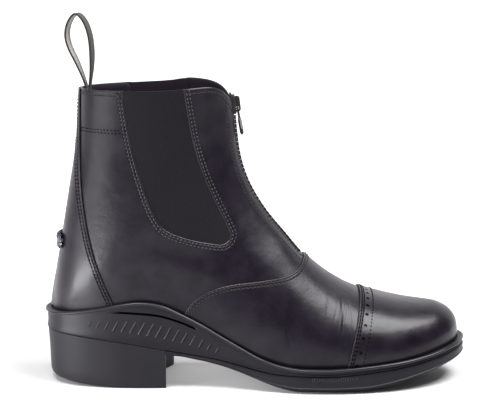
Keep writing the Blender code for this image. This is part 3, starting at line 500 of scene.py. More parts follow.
def height(table, x):
    """The second column of a table, read at x along a curve that stays between its rows."""
    steps = 8
    curve, ends = smooth(table, steps), np.array(table)[:, 1]
    lower = np.minimum(ends[:-1], ends[1:]).repeat(steps)
    upper = np.maximum(ends[:-1], ends[1:]).repeat(steps)
    values = np.append(np.clip(curve[:-1, 1], lower, upper), ends[-1])
    return np.interp(x, curve[:, 0], values)


def along(curve, shares):
    """Points at the given shares of a curve's length, which is read from its first three columns."""
    steps = np.linalg.norm(np.diff(curve[:, :3], axis=0), axis=1)
    length = np.concatenate([[0.0], np.cumsum(steps)])
    targets = np.array(shares) * length[-1]
    return np.stack([np.interp(targets, length, column) for column in curve.T], axis=1)


def run_length(curve):
    return np.linalg.norm(np.diff(curve[:, :3], axis=0), axis=1).sum()


def eased(count):
    """Shares from 0 to 1 that lie closer together at both ends."""
    even = np.linspace(0.0, 1.0, count + 1)
    return 0.45 * even + 0.55 * (1 - np.cos(math.pi * even)) / 2


def unit(vectors):
    return vectors / np.maximum(np.linalg.norm(vectors, axis=-1, keepdims=True), 1e-9)


def step(values, low, high):
    """0 below low, 1 above high and an even ease between them."""
    share = np.clip((values - low) / (high - low), 0.0, 1.0)
    return share * share * (3 - 2 * share)


def feather_height(x):
    """Height of the upper's lower edge, under the foot at x."""
    foot = SECTION_NAMES[: SECTION_NAMES.index("heel_back") + 1]
    heel_first = np.array([SECTIONS[name][:2] for name in reversed(foot)])
    return np.interp(x, heel_first[:, 0], heel_first[:, 1])


@functools.cache
def last_side(side):
    """One side of the last's plan outline, heel to toe. side is -1 for outer and 1 for inner."""
    near = [(x, -outer) for x, outer, _ in LAST_OUTLINE]
    far = [(x, inner) for x, _, inner in LAST_OUTLINE]
    if side > 0:
        near, far = far, near
    steps = 24
    return smooth([far[1], *near, far[-2]], steps)[steps:-steps]


def sole_side(side, inset, toe_inset=0.0):
    """One side of the sole's plan outline, heel to toe, with its directions outwards.

    It is drawn in by inset, and by toe_inset at the toe.
    """
    curve = last_side(side)
    tangent = np.gradient(curve, axis=0)
    tangent[0] = tangent[-1] = 0.0, side
    tangent[-1] *= -1
    tangent = unit(tangent)
    outward = np.stack([-side * tangent[:, 1], side * tangent[:, 0]], axis=1)
    margin = height(SOLE_MARGIN, curve[:, 0]) - inset - toe_inset * height(TOE_EASE, curve[:, 0])
    grown = curve + outward * margin[:, None]
    flat = np.column_stack([grown, np.zeros(len(grown)), outward])
    return along(flat, eased(SOLE_STEPS))


def line_distance(line, x, z):
    """Distance in side view from a line, positive to the right of its run."""
    nearest, side = np.full(len(x), np.inf), np.zeros(len(x))
    for (from_x, from_z), (to_x, to_z) in zip(line, line[1:]):
        run_x, run_z = to_x - from_x, to_z - from_z
        off_x, off_z = x - from_x, z - from_z
        share = np.clip((off_x * run_x + off_z * run_z) / (run_x**2 + run_z**2), 0.0, 1.0)
        gap = np.hypot(off_x - share * run_x, off_z - share * run_z)
        closer = gap < nearest
        nearest = np.where(closer, gap, nearest)
        side = np.where(closer, off_x * run_z - off_z * run_x, side)
    return np.where(side >= 0, nearest, -nearest)


# Meshes


def new_mesh(name, points, faces, finishes, sharp=38.0, face_finish=None, fields=None):
    """An object from points in the boot's millimetres."""
    mesh = bpy.data.meshes.new(name)
    mesh.from_pydata((np.asarray(points, float) - ORIGIN) * MM, [], [list(map(int, f)) for f in faces])
    for finish in finishes:
        mesh.materials.append(finish)
    if face_finish is not None:
        mesh.polygons.foreach_set("material_index", np.asarray(face_finish, np.int32))
    for field, values in (fields or {}).items():
        attribute = mesh.attributes.new(field, "FLOAT", "POINT")
        attribute.data.foreach_set("value", np.asarray(values, np.float32))
    mesh.validate()
    mesh.shade_smooth()
    mesh.set_sharp_from_angle(angle=math.radians(sharp))
    item = bpy.data.objects.new(name, mesh)
    bpy.context.scene.collection.objects.link(item)
    return item


def dress(item, slot, *nodes, body=BODY):
    """Makes a piece ride on its body and stand for its nodes. Its slot is not used."""
    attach(item, body)
    if nodes:
        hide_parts(*nodes)
    return item


def tube_faces(rings, around):
    """Faces through rings of points that go all the way round, in fours, with both ends closed."""
    a = np.arange(rings - 1)[:, None] * around + np.arange(around)[None]
    b = np.arange(rings - 1)[:, None] * around + (np.arange(around)[None] + 1) % around
    faces = np.stack([a, b, b + around, a + around], axis=-1).reshape(-1, 4)
    made = [list(face) for face in faces]
    made.append(list(reversed(range(around))))
    made.append([(rings - 1) * around + k for k in range(around)])
    return made


class Bundle:
    """Collects many small closed shapes into one mesh."""

    def __init__(self):
        self.points, self.faces, self.count = [], [], 0

    def add(self, points, faces):
        self.points.append(np.asarray(points, float))
        self.faces += [[corner + self.count for corner in face] for face in faces]
        self.count += len(points)

    def made(self, name, finishes, sharp=38.0):
        return new_mesh(name, np.vstack(self.points), self.faces, finishes, sharp)


class Sheet:
    """A face of the boot as triangles. Each point has a place, a direction outwards and its fields."""

    PLACE, OUT = slice(0, 3), slice(3, 6)
    # Points this near a cut are moved on to it, and shorter contours are left out
    SNAP, SHORTEST = 0.04, 4.0

    def __init__(self, rows, faces, names):
        self.rows, self.faces, self.names = rows, np.asarray(faces, int), list(names)

    def field(self, name):
        return self.rows[:, 6 + self.names.index(name)]

    def with_field(self, name, values):
        return Sheet(np.column_stack([self.rows, values]), self.faces, [*self.names, name])

    def divided(self, values, keep_rest):
        """Splits the triangles where values are zero, and drops those below zero unless kept."""
        values = np.where(np.abs(values) < self.SNAP, 0.0, values)
        inside = values >= 0
        corner_in = inside[self.faces]
        whole = corner_in.all(axis=1)
        crossed = corner_in.any(axis=1) & ~whole
        outside = ~corner_in.any(axis=1)
        kept = [self.faces[whole]]
        if keep_rest:
            kept.append(self.faces[outside])
        new_rows, made, place = [], [], {}

        def crossing(a, b):
            key = (min(a, b), max(a, b))
            if key not in place:
                share = values[key[0]] / (values[key[0]] - values[key[1]])
                place[key] = len(self.rows) + len(new_rows)
                low, high = self.rows[key[0]], self.rows[key[1]]
                new_rows.append(low + share * (high - low))
            return place[key]

        for face in self.faces[crossed]:
            upper, lower = [], []
            for a, b in zip(face, np.roll(face, -1)):
                (upper if inside[a] else lower).append(a)
                if values[a] == 0.0:
                    lower.append(a)
                if values[a] * values[b] < 0:
                    middle = crossing(a, b)
                    upper.append(middle)
                    lower.append(middle)
            for ring in (upper, lower) if keep_rest else (upper,):
                made += [(ring[0], ring[k], ring[k + 1]) for k in range(1, len(ring) - 1)]
        rows = np.vstack([self.rows, *new_rows]) if new_rows else self.rows
        faces = np.vstack([*kept, np.array(made).reshape(-1, 3)]).astype(int)
        used = np.unique(faces)
        renumber = np.zeros(len(rows), int)
        renumber[used] = np.arange(len(used))
        rows = rows[used]
        rows[:, self.OUT] = unit(rows[:, self.OUT])
        return Sheet(rows, renumber[faces], self.names)

    def cut(self, name, level=0.0, below=False):
        values = self.field(name) - level
        return self.divided(-values if below else values, False)

    def lined(self, name, *levels):
        """Adds rows of points along the levels of a field."""
        sheet = self
        for level in levels:
            sheet = sheet.divided(sheet.field(name) - level, True)
        return sheet

    def finer(self, chosen):
        """Splits in half each edge whose two ends are chosen."""
        place, new_rows, made = {}, [], []

        def middle(a, b):
            key = (min(a, b), max(a, b))
            if key not in place:
                place[key] = len(self.rows) + len(new_rows)
                new_rows.append(self.curved_middle(self.rows[a], self.rows[b]))
            return place[key]

        count = chosen[self.faces].sum(axis=1)
        for (a, b, c), ends in zip(self.faces[count >= 2], chosen[self.faces[count >= 2]]):
            if ends.all():
                ab, bc, ca = middle(a, b), middle(b, c), middle(c, a)
                made += [(a, ab, ca), (ab, b, bc), (ca, bc, c), (ab, bc, ca)]
                continue
            while not (ends[0] and ends[1]):
                a, b, c, ends = b, c, a, np.roll(ends, -1)
            ab = middle(a, b)
            made += [(a, ab, c), (ab, b, c)]
        rows = np.vstack([self.rows, *new_rows]) if new_rows else self.rows
        rows[:, self.OUT] = unit(rows[:, self.OUT])
        faces = np.vstack([self.faces[count < 2], np.array(made).reshape(-1, 3)]).astype(int)
        return Sheet(rows, faces, self.names)

    def curved_middle(self, one, two):
        """The row halfway between two rows, on a curve that meets both of their directions."""
        middle = (one + two) / 2
        run = two[self.PLACE] - one[self.PLACE]
        bend = one[self.OUT] * run.dot(one[self.OUT]) - two[self.OUT] * run.dot(two[self.OUT])
        middle[self.PLACE] -= bend / 8
        return middle

    def contours(self, name, level):
        """Runs of rows along one level of a field, each in order."""
        values = self.field(name) - level
        values = np.where(values == 0.0, 1e-7, values)
        above = values > 0
        crossed = self.faces[(above[self.faces].sum(axis=1) % 3) > 0]
        links, rows = {}, {}
        for face in crossed:
            ends = []
            for a, b in zip(face, np.roll(face, -1)):
                if above[a] != above[b]:
                    key = (min(a, b), max(a, b))
                    share = values[key[0]] / (values[key[0]] - values[key[1]])
                    rows[key] = self.rows[key[0]] + share * (self.rows[key[1]] - self.rows[key[0]])
                    ends.append(key)
            links.setdefault(ends[0], []).append(ends[1])
            links.setdefault(ends[1], []).append(ends[0])
        runs, seen = [], set()
        for start in sorted(links, key=lambda key: (len(links[key]), key)):
            if start in seen:
                continue
            run, here = [start], start
            seen.add(start)
            while True:
                ahead = [key for key in links[here] if key not in seen]
                if not ahead:
                    break
                here = ahead[0]
                seen.add(here)
                run.append(here)
            runs.append(np.array([rows[key] for key in run]))
        return [run for run in runs if len(run) > 2 and run_length(run) > self.SHORTEST]

    def solid(self, name, back, face, finishes, fields=(), back_finish=0, sharp=38.0):
        """A closed piece between two layers, each a distance out from the sheet."""
        count = len(self.rows)
        place, out = self.rows[:, self.PLACE], self.rows[:, self.OUT]
        layers = [place + out * np.reshape(layer, (-1, 1)) for layer in (back, face)]
        edges = np.vstack([self.faces[:, pair] for pair in ((0, 1), (1, 2), (2, 0))])
        code = edges[:, 0] * count + edges[:, 1]
        rim = edges[~np.isin(edges[:, 1] * count + edges[:, 0], code)]
        closed = [list(f) for f in self.faces + count]
        closed += [list(f) for f in self.faces[:, ::-1]]
        closed += [[b, a, a + count, b + count] for a, b in rim]
        finish = np.zeros(len(closed), int)
        finish[len(self.faces) : 2 * len(self.faces)] = back_finish
        kept = {field: np.tile(self.field(field), 2) for field in fields}
        return new_mesh(name, np.vstack(layers), closed, finishes, sharp, finish, kept)


class Form:
    """The upper's outer face as rows of points from the low edge to the ridge, on both sides."""

    BETWEEN, LOW_STEPS, TOP_STEPS = 8, 14, 30

    def __init__(self):
        rows = smooth(list(SECTIONS.values()), self.BETWEEN)
        self.rows = [dict(zip(SECTION_COLUMNS, row)) for row in rows]
        self.heel_back = SECTION_NAMES.index("heel_back") * self.BETWEEN
        self.across = self.LOW_STEPS + self.TOP_STEPS
        points = []
        self.index = np.zeros((2, len(rows), self.across + 1), int)
        for i, row in enumerate(self.rows):
            for number, side in enumerate((-1, 1)):
                for j, point in enumerate(self.section(i, row, side)):
                    shared = i == 0 or j == self.across or (j == 0 and i >= self.heel_back)
                    if shared and side > 0:
                        self.index[1, i, j] = self.index[0, i, j]
                        continue
                    self.index[number, i, j] = len(points)
                    points.append(point)
        self.points = np.array(points)
        self.ease_heel()
        self.faces = self.triangles()
        self.normals = self.outward()

    def section(self, i, row, side):
        """Points of one side of a section, from its low edge to the ridge."""
        low_x, low_z, low_half, low_y = row["low_x"], row["low_z"], 0.0, 0.0
        if i <= self.heel_back:
            low_x = min(max(low_x, LAST_OUTLINE[0][0]), LAST_OUTLINE[-1][0])
            low_z = feather_height(low_x)
            outer, inner = (np.interp(low_x, *last_side(s).T) for s in (-1, 1))
            low_half, low_y = (inner - outer) / 2, (inner + outer) / 2
        wide = max(row["wide_outer" if side < 0 else "wide_inner"], 1e-6)
        if i == 0:
            low_half = wide = 0.0
        at, low_round, top_round = row["wide_at"], row["low_round"], row["top_round"]
        closing = 1 - (low_half / wide) ** low_round if wide else 1.0
        closing = min(max(closing, 0.1), 1.0)
        spread = math.asin(math.sqrt(closing))
        k = np.arange(self.LOW_STEPS)
        q = (np.sin(spread * (1 - k / self.LOW_STEPS)) / math.sin(spread)) ** (2 / low_round)
        low_part = [at * (1 - q), wide * np.maximum(1 - closing * q**low_round, 0) ** (1 / low_round)]
        angle = np.arange(self.TOP_STEPS + 1) / self.TOP_STEPS * math.pi / 2
        rise = np.sin(angle) ** (2 / top_round)
        half = np.maximum(np.cos(angle), 0.0) ** (2 / top_round)
        half[-1] = 0.0
        share, half = np.hstack([low_part, [at + (1 - at) * rise, wide * half]])
        x = low_x + share * (row["top_x"] - low_x)
        z = low_z + share * (row["top_z"] - low_z)
        return np.stack([x, low_y + share * (row["ridge_y"] - low_y) + side * half, z], axis=1)

    def triangles(self):
        """Squares of the grid, each split along its shorter diagonal."""
        made = []
        for number, turn in ((0, 1), (1, -1)):
            grid = self.index[number]
            a, b, c, d = grid[:-1, :-1], grid[:-1, 1:], grid[1:, 1:], grid[1:, :-1]
            a, b, c, d = (corner.ravel() for corner in (a, b, c, d))
            points = self.points
            first = ((points[a] - points[c]) ** 2).sum(1) < ((points[b] - points[d]) ** 2).sum(1)
            halves = [np.stack(t, 1)[first] for t in ((a, b, c), (a, c, d))]
            halves += [np.stack(t, 1)[~first] for t in ((a, b, d), (b, c, d))]
            made.append(np.vstack(halves)[:, ::turn])
        faces = np.vstack(made)
        sound = (faces[:, 0] != faces[:, 1]) & (faces[:, 1] != faces[:, 2]) & (faces[:, 2] != faces[:, 0])
        return faces[sound]

    def ease_heel(self):
        """Evens out the rows on both sides of the heel's back, where the sections fan out."""
        reach, fully, passes = 36, 14.0, 240
        rows = np.arange(self.heel_back - reach, self.heel_back + reach + 1)
        share = (1 - step(np.abs(rows - self.heel_back), fully, reach))[:, None, None]
        for grid in self.index:
            block = grid[rows[0] - 1 : rows[-1] + 2, 1:-1]
            for _ in range(passes):
                place = self.points[block]
                even = (place[:-2] + 2 * place[1:-1] + place[2:]) / 4
                self.points[block[1:-1]] += (even - place[1:-1]) * share

    def outward(self):
        """Directions away from the upper, level along the feather edge."""
        corners = self.points[self.faces]
        across = np.cross(corners[:, 1] - corners[:, 0], corners[:, 2] - corners[:, 0])
        normals = np.zeros_like(self.points)
        for k in range(3):
            np.add.at(normals, self.faces[:, k], across)
        normals[np.unique(self.index[:, : self.heel_back + 1, 0]), 2] = 0.0
        return unit(normals)


def ridge(z_from, z_to, steps):
    """Points up the shin from one height to another, with their directions outwards, as x and z."""
    rows = smooth([SECTIONS[name][2:4] for name in SECTIONS], 12)
    heights = np.linspace(z_from, z_to, 8 * steps)
    shin = np.stack([np.interp(heights, rows[:, 1], rows[:, 0]), heights], axis=1)
    line = along(shin, np.linspace(0, 1, steps + 1))
    run = unit(np.gradient(line, axis=0))
    return line, np.stack([run[:, 1], -run[:, 0]], axis=1)


@functools.cache
def whole_sheet():
    """The whole outer face, with its distances from each panel line."""
    form = Form()
    x, y, z = form.points.T
    low_line = np.vstack([smooth(COLLAR_LINE, 4), COLLAR_AHEAD])
    high_line = low_line.copy()
    high_line[:, 1] += height(COLLAR_RISE, high_line[:, 0])
    collar = np.where(y > 0, line_distance(high_line, x, z), line_distance(low_line, x, z))
    slot = np.where(x > ZIP_FROM, np.maximum(np.abs(y) - ZIP_SLOT_HALF, ZIP_FOOT - z), FAR)
    fields = {
        "collar": collar,
        "gusset": line_distance(smooth(GUSSET_LINE, 4), x, z),
        "zip": slot,
        "vamp": line_distance(smooth(VAMP_LINE, 4), x, z),
        "cap": -line_distance(smooth(CAP_LINE, 4), x, z),
        "back": line_distance(smooth(BACKSTAY_LINE, 4), x, z),
        "band": np.where(x < BAND_REACH, z - BAND_HEIGHT, FAR),
        "height": z,
    }
    rows = np.column_stack([form.points, form.normals, *fields.values()])
    return Sheet(rows, form.faces, fields)


def relief(sheet):
    """Height of the creases and folds over the face of the leather."""
    x, y, z = sheet.rows[:, Sheet.PLACE].T
    made = np.zeros(len(x))
    side = np.where(y < 0, -1, 1)
    for crease_side, top_x, top_z, low_x, low_z, half, depth in CREASES:
        share = (top_z - z) / (top_z - low_z)
        bend = 1.2 * np.sin(share * 5.0 + top_x)
        off = (x - (top_x + share * (low_x - top_x) + bend)) / half
        ends = step(share, -0.15, 0.3) * (1 - step(share, 0.75, 1.1))
        trough = -np.exp(-(off**2)) + 0.45 * np.exp(-((np.abs(off) - 2.0) ** 2))
        made += np.where(side == crease_side, trough * depth * ends, 0.0)
    for from_x, from_z, to_x, to_z, half, rise in FOLDS:
        run = np.array((to_x - from_x, to_z - from_z))
        length = np.hypot(*run)
        share = ((x - from_x) * run[0] + (z - from_z) * run[1]) / length**2
        off = ((x - from_x) * run[1] - (z - from_z) * run[0]) / length
        made += rise * np.exp(-((off / half) ** 2)) * step(share, -0.2, 0.3) * (1 - step(share, 0.7, 1.2))
    return made * sizes().crease


def rounding(edge):
    """How far a cut edge of leather is drawn back, from its distance to the edge."""
    width = sizes().edge_round / MM
    return 0.42 * np.clip(1 - edge / width, 0.0, 1.0) ** 2


def with_edges(sheet, name):
    width = sizes().edge_round / MM
    return sheet.lined(name, 0.35 * width, width)


@functools.cache
def upper_sheet():
    sheet = whole_sheet().cut("collar").cut("gusset").cut("zip")
    edge = np.minimum(np.minimum(sheet.field("collar"), sheet.field("gusset")), sheet.field("zip"))
    return with_edges(sheet.with_field("edge", edge), "edge")


@functools.cache
def vamp_sheet():
    sheet = whole_sheet().cut("vamp").cut("cap", CAP_UNDERLAP, below=True)
    for _ in range(2):
        x, z = sheet.rows[:, 0], sheet.rows[:, 2]
        creased = np.any([(x > start) & (x < end) for start, end in CREASED], axis=0)
        sheet = sheet.finer(creased & (z < CREASE_TOP))
    return with_edges(sheet.with_field("edge", sheet.field("vamp")), "edge")


@functools.cache
def backstay_sheet():
    sheet = whole_sheet().cut("back").cut("collar", BACKSTAY_SHORT)
    return with_edges(sheet.with_field("edge", sheet.field("back")), "edge")


CAP_HOLE_ROW, CAP_FRONT_ROW = 5.3, 9.0
CAP_TEETH, CAP_TOOTH_DEPTH = 2.0, 0.55
# Spare leather to cut the pinked edge from, and how far the mesh is made finer, step by step
CAP_SPARE, CAP_FINE, HOLE_FINE = 3.0, (9.0, 8.0, 7.5), 0.9


@functools.cache
def cap_sheet():
    """The toe cap's face, with its pinked edge and its row of punched holes."""
    sheet = whole_sheet().cut("cap", -CAP_SPARE)
    for reach in CAP_FINE:
        sheet = sheet.finer(sheet.field("cap") < reach)
    wave = np.abs(((sheet.rows[:, 1] + girth(sheet)) / CAP_TEETH) % 1.0 - 0.5) * 2
    edge = sheet.field("cap") - CAP_TOOTH_DEPTH * (wave - 0.5)
    sheet = sheet.with_field("edge", edge).cut("edge")
    sheet = with_edges(sheet, "edge")
    gap = np.full(len(sheet.rows), FAR)
    for centre in cap_holes(sheet):
        gap = np.minimum(gap, np.linalg.norm(sheet.rows[:, Sheet.PLACE] - centre, axis=1))
    sheet = sheet.with_field("hole", gap - sizes().hole / MM / 2)
    return sheet.finer(sheet.field("hole") < HOLE_FINE).cut("hole")


def girth(sheet):
    """A length that grows over the foot, up the outer side and down the inner one."""
    z, y = sheet.rows[:, 2], sheet.rows[:, 1]
    return np.where(y < 0, z, -z)


def cap_holes(sheet):
    """Middles of the holes along the toe cap, spaced evenly over the foot."""
    run = max(sheet.contours("cap", CAP_HOLE_ROW), key=run_length)
    count = int(run_length(run) / (sizes().hole_pitch / MM))
    return along(run, (np.arange(count) + 0.5) / count)[:, Sheet.PLACE]


# Finishes


class Wire:
    """A value in a shader that adds Math nodes as it is used in an expression."""

    def __init__(self, finish, socket):
        self.finish, self.socket = finish, socket

    def math(self, operation, *values):
        sockets = dict(enumerate(values))
        return self.finish.node("ShaderNodeMath", {"operation": operation}, sockets)

    def __add__(self, other):
        return self.math("ADD", self, other)

    __radd__ = __add__

    def __sub__(self, other):
        return self.math("SUBTRACT", self, other)

    def __mul__(self, other):
        return self.math("MULTIPLY", self, other)

    __rmul__ = __mul__

    def __truediv__(self, other):
        return self.math("DIVIDE", self, other)

    def __pow__(self, other):
        return self.math("POWER", self, other)

    def __abs__(self):
        return self.math("ABSOLUTE", self)

    def sine(self, pitch):
        return self.math("SINE", self * (2 * math.pi / pitch))

    def at_most(self, other):
        return self.math("MINIMUM", self, other)

    def at_least(self, other):
        return self.math("MAXIMUM", self, other)

    def step(self, low, high):
        """0 at low, 1 at high and an even ease between them."""
        settings = {"interpolation_type": "SMOOTHSTEP"}
        return self.finish.node("ShaderNodeMapRange", settings, {0: self, 1: low, 2: high, 3: 0.0, 4: 1.0})

    def bell(self, middle, half):
        """1 at the middle value, falling to nothing about two half-widths away."""
        off = (self - middle) / half
        return self.math("POWER", math.e, off * off * -1.0)


class Finish:
    """A material whose nodes are made by expressions."""

    def __init__(self, name, **constants):
        self.material = bpy.data.materials.new(name)
        self.material.use_nodes = True
        self.tree = self.material.node_tree
        self.shader = self.tree.nodes["Principled BSDF"]
        for socket, value in constants.items():
            self.shader.inputs[socket.replace("_", " ")].default_value = value
        self.spot = self.node("ShaderNodeTexCoord", output="Object")

    def node(self, kind, settings=None, sockets=None, output=0):
        """A node of any kind: its settings first, then the values or links of its sockets."""
        node = self.tree.nodes.new(kind)
        for name, value in (settings or {}).items():
            setattr(node, name, value)
        for key, value in (sockets or {}).items():
            self.link(node.inputs[key], value)
        return Wire(self, node.outputs[output])

    def link(self, socket, value):
        if isinstance(value, Wire):
            self.tree.links.new(value.socket, socket)
        else:
            socket.default_value = value

    def noise(self, scale, detail=3.0, roughness=0.55):
        values = {"Vector": self.spot, "Scale": scale, "Detail": detail, "Roughness": roughness}
        return self.node("ShaderNodeTexNoise", None, values)

    def cells(self, scale, feature="F1"):
        values = {"Vector": self.spot, "Scale": scale}
        return self.node("ShaderNodeTexVoronoi", {"feature": feature}, values)

    def field(self, name):
        return self.node("ShaderNodeAttribute", {"attribute_name": name}, output="Fac")

    def axis(self, name):
        return self.node("ShaderNodeSeparateXYZ", None, {0: self.spot}, output=name)

    def mixed(self, share, low, high):
        """A colour between two others."""
        sockets = {0: share}
        for key, value in ((6, low), (7, high)):
            sockets[key] = value if isinstance(value, Wire) else (*value, 1.0)
        return self.node("ShaderNodeMix", {"data_type": "RGBA"}, sockets, output=2)

    def tinted(self, share, shade, low, high):
        """A colour between two strengths of one shade."""
        return self.mixed(share, scaled(shade, low), scaled(shade, high))

    def done(self, **sockets):
        """Links what varies to the shader. relief is a height in millimetres."""
        relief_height = sockets.pop("relief", None)
        if relief_height is not None:
            bump = {"Height": relief_height, "Distance": MM, "Strength": 1.0}
            sockets["Normal"] = self.node("ShaderNodeBump", None, bump)
        for name, value in sockets.items():
            self.link(self.shader.inputs[name.replace("_", " ")], value)
        return self.material


def scaled(shade, share):
    return tuple(channel * share for channel in shade)


@functools.cache
def leather_finish(name, rows=(), gloss=0.0, edged=True, strength=1.0, index=1.34):
    """Polished leather with grain, paler along its cut edges from wear and a painted highlight, and grooved
    along its stitches with painted shade in the grooves.
    """
    finish = Finish(name, Coat_Roughness=0.2, IOR=index)
    shade = scaled(tuple(colours().leather), strength)
    swell, broad = finish.noise(38.0, 3.0), finish.noise(85.0, 4.0, 0.6)
    grain, fine = finish.noise(620.0, 4.0, 0.65), finish.noise(1700.0, 2.0)
    pores = finish.cells(1000.0, "SMOOTH_F1")
    height_mm = swell * 0.55 + broad * 0.18 + grain * 0.035 + pores * 0.016 + fine * 0.005
    rough = 0.37 - gloss + (broad - 0.5) * 0.25 + (grain - 0.5) * 0.12
    base = finish.tinted(broad.step(0.3, 0.7), shade, 0.75, 1.3)
    if edged:
        # Paler along the cut edges: partly edge wear, partly a painted highlight where the rounded edge
        # catches the light.
        wear_and_painted_light = finish.field("edge").bell(0.3, 0.3)
        base = finish.mixed(wear_and_painted_light * 0.25, base, (0.05, 0.045, 0.05))
    groove = None
    for field, level in rows:
        row = finish.field(field).bell(level, 0.36)
        groove = row if groove is None else groove.at_least(row)
    if groove is not None:
        height_mm = height_mm - groove * 0.32
        rough = rough + groove * 0.45
        # Painted shade: the base colour is darkened in the stitch grooves, where shade falls.
        base = finish.mixed(groove * 0.8, base, scaled(shade, 0.2))
    coat = 0.1 * broad.step(0.3, 0.7)
    return finish.done(Base_Color=base, Roughness=rough.at_least(0.26), Coat_Weight=coat, relief=height_mm)


@functools.cache
def lining_finish():
    finish = Finish("lining_leather", Specular_IOR_Level=0.18)
    shade = tuple(colours().lining)
    broad, fine = finish.noise(60.0, 3.0), finish.noise(1800.0, 2.0)
    base = finish.tinted(broad, shade, 0.7, 1.4)
    return finish.done(Base_Color=base, Roughness=0.62 + 0.2 * (fine - 0.5), relief=fine * 0.05)


ELASTIC_PITCH = 1.25


@functools.cache
def elastic_finish():
    """Fine upright ribs crossed by finer threads."""
    finish = Finish("ribbed_elastic", Sheen_Weight=0.05, Sheen_Roughness=0.5, Specular_IOR_Level=0.15)
    shade = tuple(colours().elastic)
    x, z = finish.axis("X") / MM, finish.axis("Z") / MM
    lean = x + 0.24 * z
    rib = lean.sine(ELASTIC_PITCH) * 0.5 + 0.5
    thread = z.sine(0.55) * 0.5 + 0.5
    fuzz = finish.noise(2500.0, 2.0)
    share = rib * 0.3 + thread * 0.1 + fuzz * 0.6
    base = finish.tinted(share, shade, 0.7, 1.3)
    bump = rib * 0.06 + thread * 0.015 + fuzz * 0.04
    return finish.done(Base_Color=base, Roughness=0.78 + 0.15 * fuzz, relief=bump)


@functools.cache
def rubber_finish(name="moulded_rubber", shine=0.2, gloss=0.0):
    finish = Finish(name, Specular_IOR_Level=shine)
    shade = tuple(colours().rubber)
    broad, fine = finish.noise(40.0, 4.0), finish.noise(2200.0, 2.0)
    specks = finish.cells(900.0)
    wear_and_painted_light = finish.field("wear_and_painted_light")
    base = finish.tinted(broad.step(0.25, 0.75), shade, 0.8, 1.15)
    # Painted highlight: faces where the field is above 0, the sole's ribs, are painted lighter as if they
    # caught the light.
    base = finish.mixed(wear_and_painted_light.at_least(0.0), base, scaled(shade, 3.2))
    rough = 0.35 - gloss + 0.14 * broad + 0.06 * fine
    return finish.done(Base_Color=base, Roughness=rough, relief=fine * 0.008 + specks * 0.007)


def rim_finish():
    """Shinier rubber of the rim and the ticks."""
    return rubber_finish("rim_rubber", 0.4, 0.12)


@functools.cache
def slot_painted_shade_finish():
    """Painted shade for the inside of the slot below the rim: near-black rubber with no shine, where little
    light reaches.
    """
    finish = Finish("slot_painted_shade", Specular_IOR_Level=0.0)
    shade = tuple(colours().rubber)
    fine = finish.noise(2200.0, 2.0)
    base = finish.tinted(fine, shade, 0.15, 0.25)
    return finish.done(Base_Color=base, Roughness=0.8 + 0.1 * fine)


@functools.cache
def cloth_finish(name):
    """Plain woven cloth."""
    finish = Finish(name, Sheen_Weight=0.1, Specular_IOR_Level=0.25)
    shade = tuple(colours().cloth)
    x, y, z = (finish.axis(key) / MM for key in "XYZ")
    warp = y.sine(0.62)
    weft = (x + z).sine(0.62)
    weave = warp * weft * 0.5 + 0.5
    base = finish.tinted(weave, shade, 0.6, 1.35)
    return finish.done(Base_Color=base, Roughness=0.8 + 0.1 * weave, relief=weave * 0.09)


@functools.cache
def thread_finish(name, strength, shine):
    """Sewing thread, with a strength above 1 painting a highlight on it and below 1 painting shade."""
    finish = Finish(name, Specular_IOR_Level=shine)
    shade = scaled(tuple(colours().thread), strength)
    twist = finish.noise(3200.0, 1.0)
    base = finish.tinted(twist, shade, 0.7, 1.5)
    return finish.done(Base_Color=base, Roughness=0.42 + 0.15 * twist)


@functools.cache
def webbing_finish():
    """Woven tape: pale inner face, dark outer face and dark edges, with a fine slanted weave."""
    finish = Finish("loop_weave", Specular_IOR_Level=0.05)
    pale, dark = tuple(colours().webbing), tuple(colours().webbing_dark)
    across, run, inside = (finish.field(key) for key in ("across", "run", "inside"))
    twill = (run + abs(across) * 0.9).sine(0.9) * 0.5 + 0.5
    cord = across.sine(0.75) * 0.5 + 0.5
    edge = abs(across).step(0.80 * LOOP_HALF, 0.86 * LOOP_HALF)
    stripe = abs(across).bell(0.62 * LOOP_HALF, 0.35)
    fleck = finish.noise(700.0, 2.0)
    face = finish.mixed(inside, scaled(dark, 1.6), pale)
    shaded = finish.mixed((twill * 0.2 + fleck * 0.25).at_most(1.0), face, scaled(dark, 1.2))
    marked = finish.mixed((stripe * 0.65 + edge).at_most(1.0), shaded, scaled(dark, 0.6))
    return finish.done(Base_Color=marked, Roughness=0.7 + 0.2 * fleck, relief=twill * 0.09 + cord * 0.05)


@functools.cache
def metal_finish(name, shade, rough, bare):
    finish = Finish(name, Metallic=bare)
    broad, fine = finish.noise(420.0, 3.0), finish.noise(2600.0, 2.0)
    base = finish.tinted(broad, shade, 0.7, 1.25)
    return finish.done(Base_Color=base, Roughness=rough + 0.18 * broad, relief=fine * 0.02)


# Pieces

UPPER_ROWS = (
    ("gusset", 1.5),
    ("gusset", 3.3),
    ("collar", 2.9),
    ("zip", 1.9),
    ("zip", 8.4),
)
# Stitches beside the zip keep this far below the collar
COLLAR_CLEAR = 3.2
BAND_ROWS = (-0.95, 0.95)
EDGE_ROWS = (("edge", 1.3), ("edge", 3.1))
CAP_ROWS = (("cap", 1.5), ("cap", 2.9), ("cap", CAP_FRONT_ROW))
# Strengths of the one sewing thread: pale is a painted highlight on the gusset rows, dark is painted shade
# on the band, backstay and toe cap rows.
THREADS = (
    # name, strength of its colour, shine
    ("pale", 1.7, 0.35),
    ("plain", 1.0, 0.25),
    ("dark", 0.05, 0.05),
)


